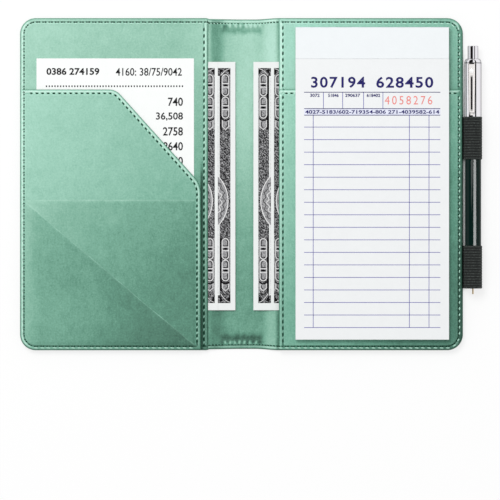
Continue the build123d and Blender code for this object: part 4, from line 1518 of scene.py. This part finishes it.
class NotePrint:
    """Print laid out on a note: u runs in from its visible long edge and v down from its top."""

    def __init__(self, node, side, margin):
        self.span, self.side, self.margin = Span(node), side, margin
        self.edge = self.span.right if side < 0 else self.span.left
        self.wide, self.long = self.span.right - self.span.left, self.span.top - self.span.bottom
        self.inks = {ink: Shape() for ink in ("band", "field", "grey", "pale", "dark")}
        self.border()
        self.rosette()
        for ink, shape in self.inks.items():
            shape.piece(node + "_print_" + ink, "note_" + ink, node, slot="note_paper")

    def placed(self, points):
        return [Vector((self.edge + self.side * u, self.span.top - v)) for u, v in points]

    def levels(self, layer):
        return self.span.high - INK, self.span.high + INK + 0.004 * layer

    def fill(self, ink, points, layer):
        """A flat shape in one ink, over the lower layers."""
        placed = self.placed(points)
        area = sum(a.cross(b) for a, b in pairs(placed))
        self.inks[ink].prism(placed if area > 0 else placed[::-1], *self.levels(layer))

    def draw(self, ink, points, width, layer, closed=False):
        self.inks[ink].ribbon(self.placed(points), width, *self.levels(layer), closed)

    def box(self, ink, near, far, upper, lower):
        self.fill(ink, [(near, upper), (far, upper), (far, lower), (near, lower)], 0)

    def oval(self, upper, lower):
        """A long oval of the border: a pale outline round grey, with bars and a dark lens at its middle
        and a dark hook towards each end."""
        middle, centre = self.margin + 2.9, (upper + lower) / 2
        head, foot = (middle, upper + OVAL_REACH), (middle, lower - OVAL_REACH)
        rim = arc(head, OVAL_REACH, 180, 360) + arc(foot, OVAL_REACH, 0, 180)
        self.draw("dark", rim, 1.0, 1, closed=True)
        self.fill("grey", rim, 2)
        self.draw("pale", rim, 0.42, 3, closed=True)
        hook = 1.2
        self.draw("dark", [(middle - hook, centre - 1.9)] + arc(head, hook, 180, 275), 0.5, 4)
        self.draw("dark", [(middle - hook, centre + 1.9)] + arc(foot, hook, 180, 20), 0.5, 4)
        for ink, near, far, v, width in (
            ("dark", -1.4, 1.3, -1.75, 0.55), ("pale", -1.8, 1.8, -1.1, 0.4), ("pale", -1.8, 1.8, 1.05, 0.4),
        ):
            self.draw(ink, [(middle + near, centre + v), (middle + far, centre + v)], width, 5)
        self.fill("dark", arc((middle, centre), (1.55, 0.62), 0, math.degrees(6), 15), 6)

    def end_piece(self, upper, lower):
        """The open last form of a row of ovals."""
        near, far = self.margin + 1.0, self.margin + 4.8
        middle, head, corner, inner = (near + far) / 2, upper + 0.6, lower - 1.8, near + 0.8
        point = [(near, corner), (middle, lower), (far, corner)]
        self.fill("grey", [(far, head), (near, head), *point], 2)
        self.draw("pale", [(near, head), *point, (far, upper)], 0.4, 3)
        self.draw("dark", arc((middle, upper - 2.0), 2.7, 30, 150), 0.8, 4)
        self.draw("dark", [(inner, upper + 1.6), (inner, corner - 0.4), (middle, lower - 1.2)], 0.5, 4)

    def crossed_end(self, upper, lower):
        """The border's end, with two crossing curves between dark corners."""
        near, far = self.margin, self.margin + BORDER
        self.fill("dark", [(near, upper), (near + 3.0, upper), (near, lower)], 1)
        self.fill("dark", [(far, upper), (far - 2.6, upper), (far, lower)], 1)
        for ink, start, turn in (("pale", near, 1), ("grey", far, -1)):
            curve = []
            for share in [step / 8 for step in range(9)]:
                fall = (lower - upper) * (0.1 + share ** 1.7)
                curve.append((start + turn * (0.3 + 5.4 * share), upper + fall))
            self.draw(ink, curve, 0.32, 3)

    def border(self):
        near, far, wide = self.margin, self.margin + BORDER, self.wide
        top, foot = HEAD_MARGIN, self.long - FOOT_MARGIN
        self.box("band", near, far, top, foot)
        self.box("band", wide - far, wide - near, top, foot)
        self.box("band", far, wide - far, top, top + BORDER_END)
        self.box("band", far, wide - far, foot - BORDER_END, foot)
        self.box("field", far + 0.8, wide - far - 0.8, top + 5.3, foot - 5.3)
        for upper, lower in ((top + 3.9, foot - 101.8), (self.long - 42.3, foot - 7.0)):
            self.draw("grey", [(near + 0.35, upper), (near + 0.35, lower)], 0.6, 1)
            self.draw("dark", [(far - 0.7, upper), (far - 0.7, lower)], 1.3, 1)
        for upper, length in ((7.5, 12.5), (20.6, 12.5), (self.long - 42.1, 12.2), (self.long - 29.4, 12.2)):
            self.oval(upper, upper + length)
        self.end_piece(33.7, 39.9)
        self.end_piece(self.long - 16.2, self.long - 11.2)
        self.crossed_end(top, top + 4.0)
        self.crossed_end(foot, foot - 5.0)

    def rosette(self):
        """A round of fine waves in the middle of the note."""
        centre = (self.margin + ROSETTE + 1.4, self.long * 0.56)
        rim = arc(centre, ROSETTE, 0, 354, 59)
        self.fill("grey", rim, 1)
        self.draw("pale", rim, 0.5, 2, closed=True)
        for number, reach in enumerate(WAVES):
            lobes = 24 if number < 3 else 16 if number < 5 else 10
            wave = []
            for angle in [math.radians(step * 2) for step in range(180)]:
                out = reach + 0.7 * math.cos(lobes * angle + number * math.pi / 2)
                wave.append((centre[0] + out * math.cos(angle), centre[1] + out * math.sin(angle)))
            self.draw("pale" if number % 2 else "dark", wave, 0.4, 3 + number % 2, closed=True)


for label, side in SIDES.items():
    NotePrint(label + "_note_upper", side, 1.8)
    NotePrint(label + "_note_under", side, 2.9)

# Stage

FLOOR_REACH = 40.0
FLOOR_GLOW = 0.75
SKY_LEVEL = 0.605  # the world's light on the object; metal and the camera see it at full white
DARK_CARDS = ((-60, 0), (27, 46))  # dark screens in metal's reflections, degrees from straight up

floor_mesh = bpy.data.meshes.new("floor")
corners = [(x * FLOOR_REACH, y * FLOOR_REACH, 0) for x, y in ((-1, -1), (1, -1), (1, 1), (-1, 1))]
floor_mesh.from_pydata(corners, [], [(0, 1, 2, 3)])
floor = linked("floor", floor_mesh)
floor.location.z = -0.0002
ground = Finish("floor_white")
ground.set(Base_Color=linear(252, 252, 252), Roughness=0.9, Specular_IOR_Level=0.0)
rays = ground.node("LightPath", {})
mirrored = ground.math("MAXIMUM", rays["Is Glossy Ray"], rays["Is Transmission Ray"])
closed_in = ground.node("AmbientOcclusion", {"Distance": 0.012}, samples=16)["AO"]
seen = ground.math("MULTIPLY", rays["Is Camera Ray"], ground.ease(closed_in, 0.12, 0.42, 0.0, FLOOR_GLOW))
share = ground.math("MULTIPLY_ADD", mirrored, FLOOR_GLOW, seen)
glow = ground.node("Emission", {"Color": (1, 1, 1, 1)})["Emission"]
mixed = ground.node("MixShader", {"Fac": share, 1: ground.shader.outputs["BSDF"], 2: glow})["Shader"]
ground.feed(ground.tree.nodes["Material Output"].inputs["Surface"], mixed)
floor_mesh.materials.append(ground.owner)


def screened(sky):
    """The world's strength: plain for the object's light, white with dark screens for reflections."""
    seen = sky.node("LightPath", {})
    direction = sky.node("SeparateXYZ", {0: sky.node("TexCoord", {})["Generated"]})
    angle = sky.math("ARCTAN2", direction["X"], direction["Z"])
    share = 1.0
    for start, end in DARK_CARDS:
        half = math.radians((end - start) / 2)
        away = sky.math("ABSOLUTE", sky.math("SUBTRACT", angle, math.radians((start + end) / 2)))
        share = sky.math("MULTIPLY", sky.ease(away, half * 0.8, half * 1.15, 0.01), share)
    glossy = sky.math("MULTIPLY", sky.math("SUBTRACT", share, SKY_LEVEL), seen["Is Glossy Ray"])
    plain_sight = sky.math("MAXIMUM", seen["Is Camera Ray"], seen["Is Transmission Ray"])
    return sky.total(glossy, sky.math("MULTIPLY", plain_sight, 1 - SKY_LEVEL), SKY_LEVEL)


studio = Finish("studio", bpy.data.worlds)
bpy.context.scene.world = studio.owner
studio.set(Color=(1, 1, 1, 1), Strength=screened(studio))


def lamp(name, shape, size, energy, location):
    data = bpy.data.lights.new(name, "AREA")
    data.shape = shape
    data.size, data.size_y = size
    data.energy = energy
    made = linked(name, data)
    made.location = location
    return made


key = lamp("key", "SQUARE", (0.8, 0.8), 17.6, (-0.4, 0.8, 1.6))
key.rotation_euler = (-key.location).to_track_quat("-Z", "Y").to_euler()

# The pen mirrors the white studio without the green leather beside it, and its metal isn't lit by the key

unlit = bpy.data.collections.new("not_lit_by_key")
for piece in bpy.data.objects:
    if piece.name.startswith(("back_", "pad_pocket", "stitch")) and "note" not in piece.name:
        piece.visible_glossy = False
    metal = piece.type == "MESH" and piece.active_material in (finishes["chrome"], finishes["clip_chrome"])
    if metal and piece.name.startswith("pen_"):
        unlit.objects.link(piece)
for member in unlit.collection_objects:
    member.light_linking.link_state = "EXCLUDE"
key.light_linking.receiver_collection = unlit

# Long lamps over the pen that show as one stripe on the dark barrel and on the clip, and light nothing else

LAMP_AWAY = 0.6
for name, turn, energy, lit in (("strip", 25, 48.0, dark_piece), ("clip_strip", -16, 1.1, clip_piece)):
    turn = math.radians(turn)
    place = (pen_x * MM + LAMP_AWAY * math.sin(turn), -0.05, pen_z * MM + LAMP_AWAY * math.cos(turn))
    strip = lamp(name, "RECTANGLE", (0.4, 0.9), energy, place)
    strip.rotation_euler = (0, turn, 0)
    strip.visible_diffuse = False
    alone = bpy.data.collections.new(name + "_lit")
    alone.objects.link(lit)
    strip.light_linking.receiver_collection = alone

# Camera: straight above the middle of the photograph

PHOTO_MIDDLE = 250.0
PHOTO_SIZE = 500.0
CAMERA_HEIGHT = 5000.0
lens = bpy.data.cameras.new("camera")
lens.sensor_width = 36.0
lens.lens = lens.sensor_width * CAMERA_HEIGHT / (PHOTO_SIZE * PIXEL_MM)
camera = linked("camera", lens)
camera.location = (across_mm(PHOTO_MIDDLE) * MM, along_mm(PHOTO_MIDDLE) * MM, CAMERA_HEIGHT * MM)
bpy.context.scene.camera = camera
bpy.context.scene.view_settings.view_transform = "Standard"
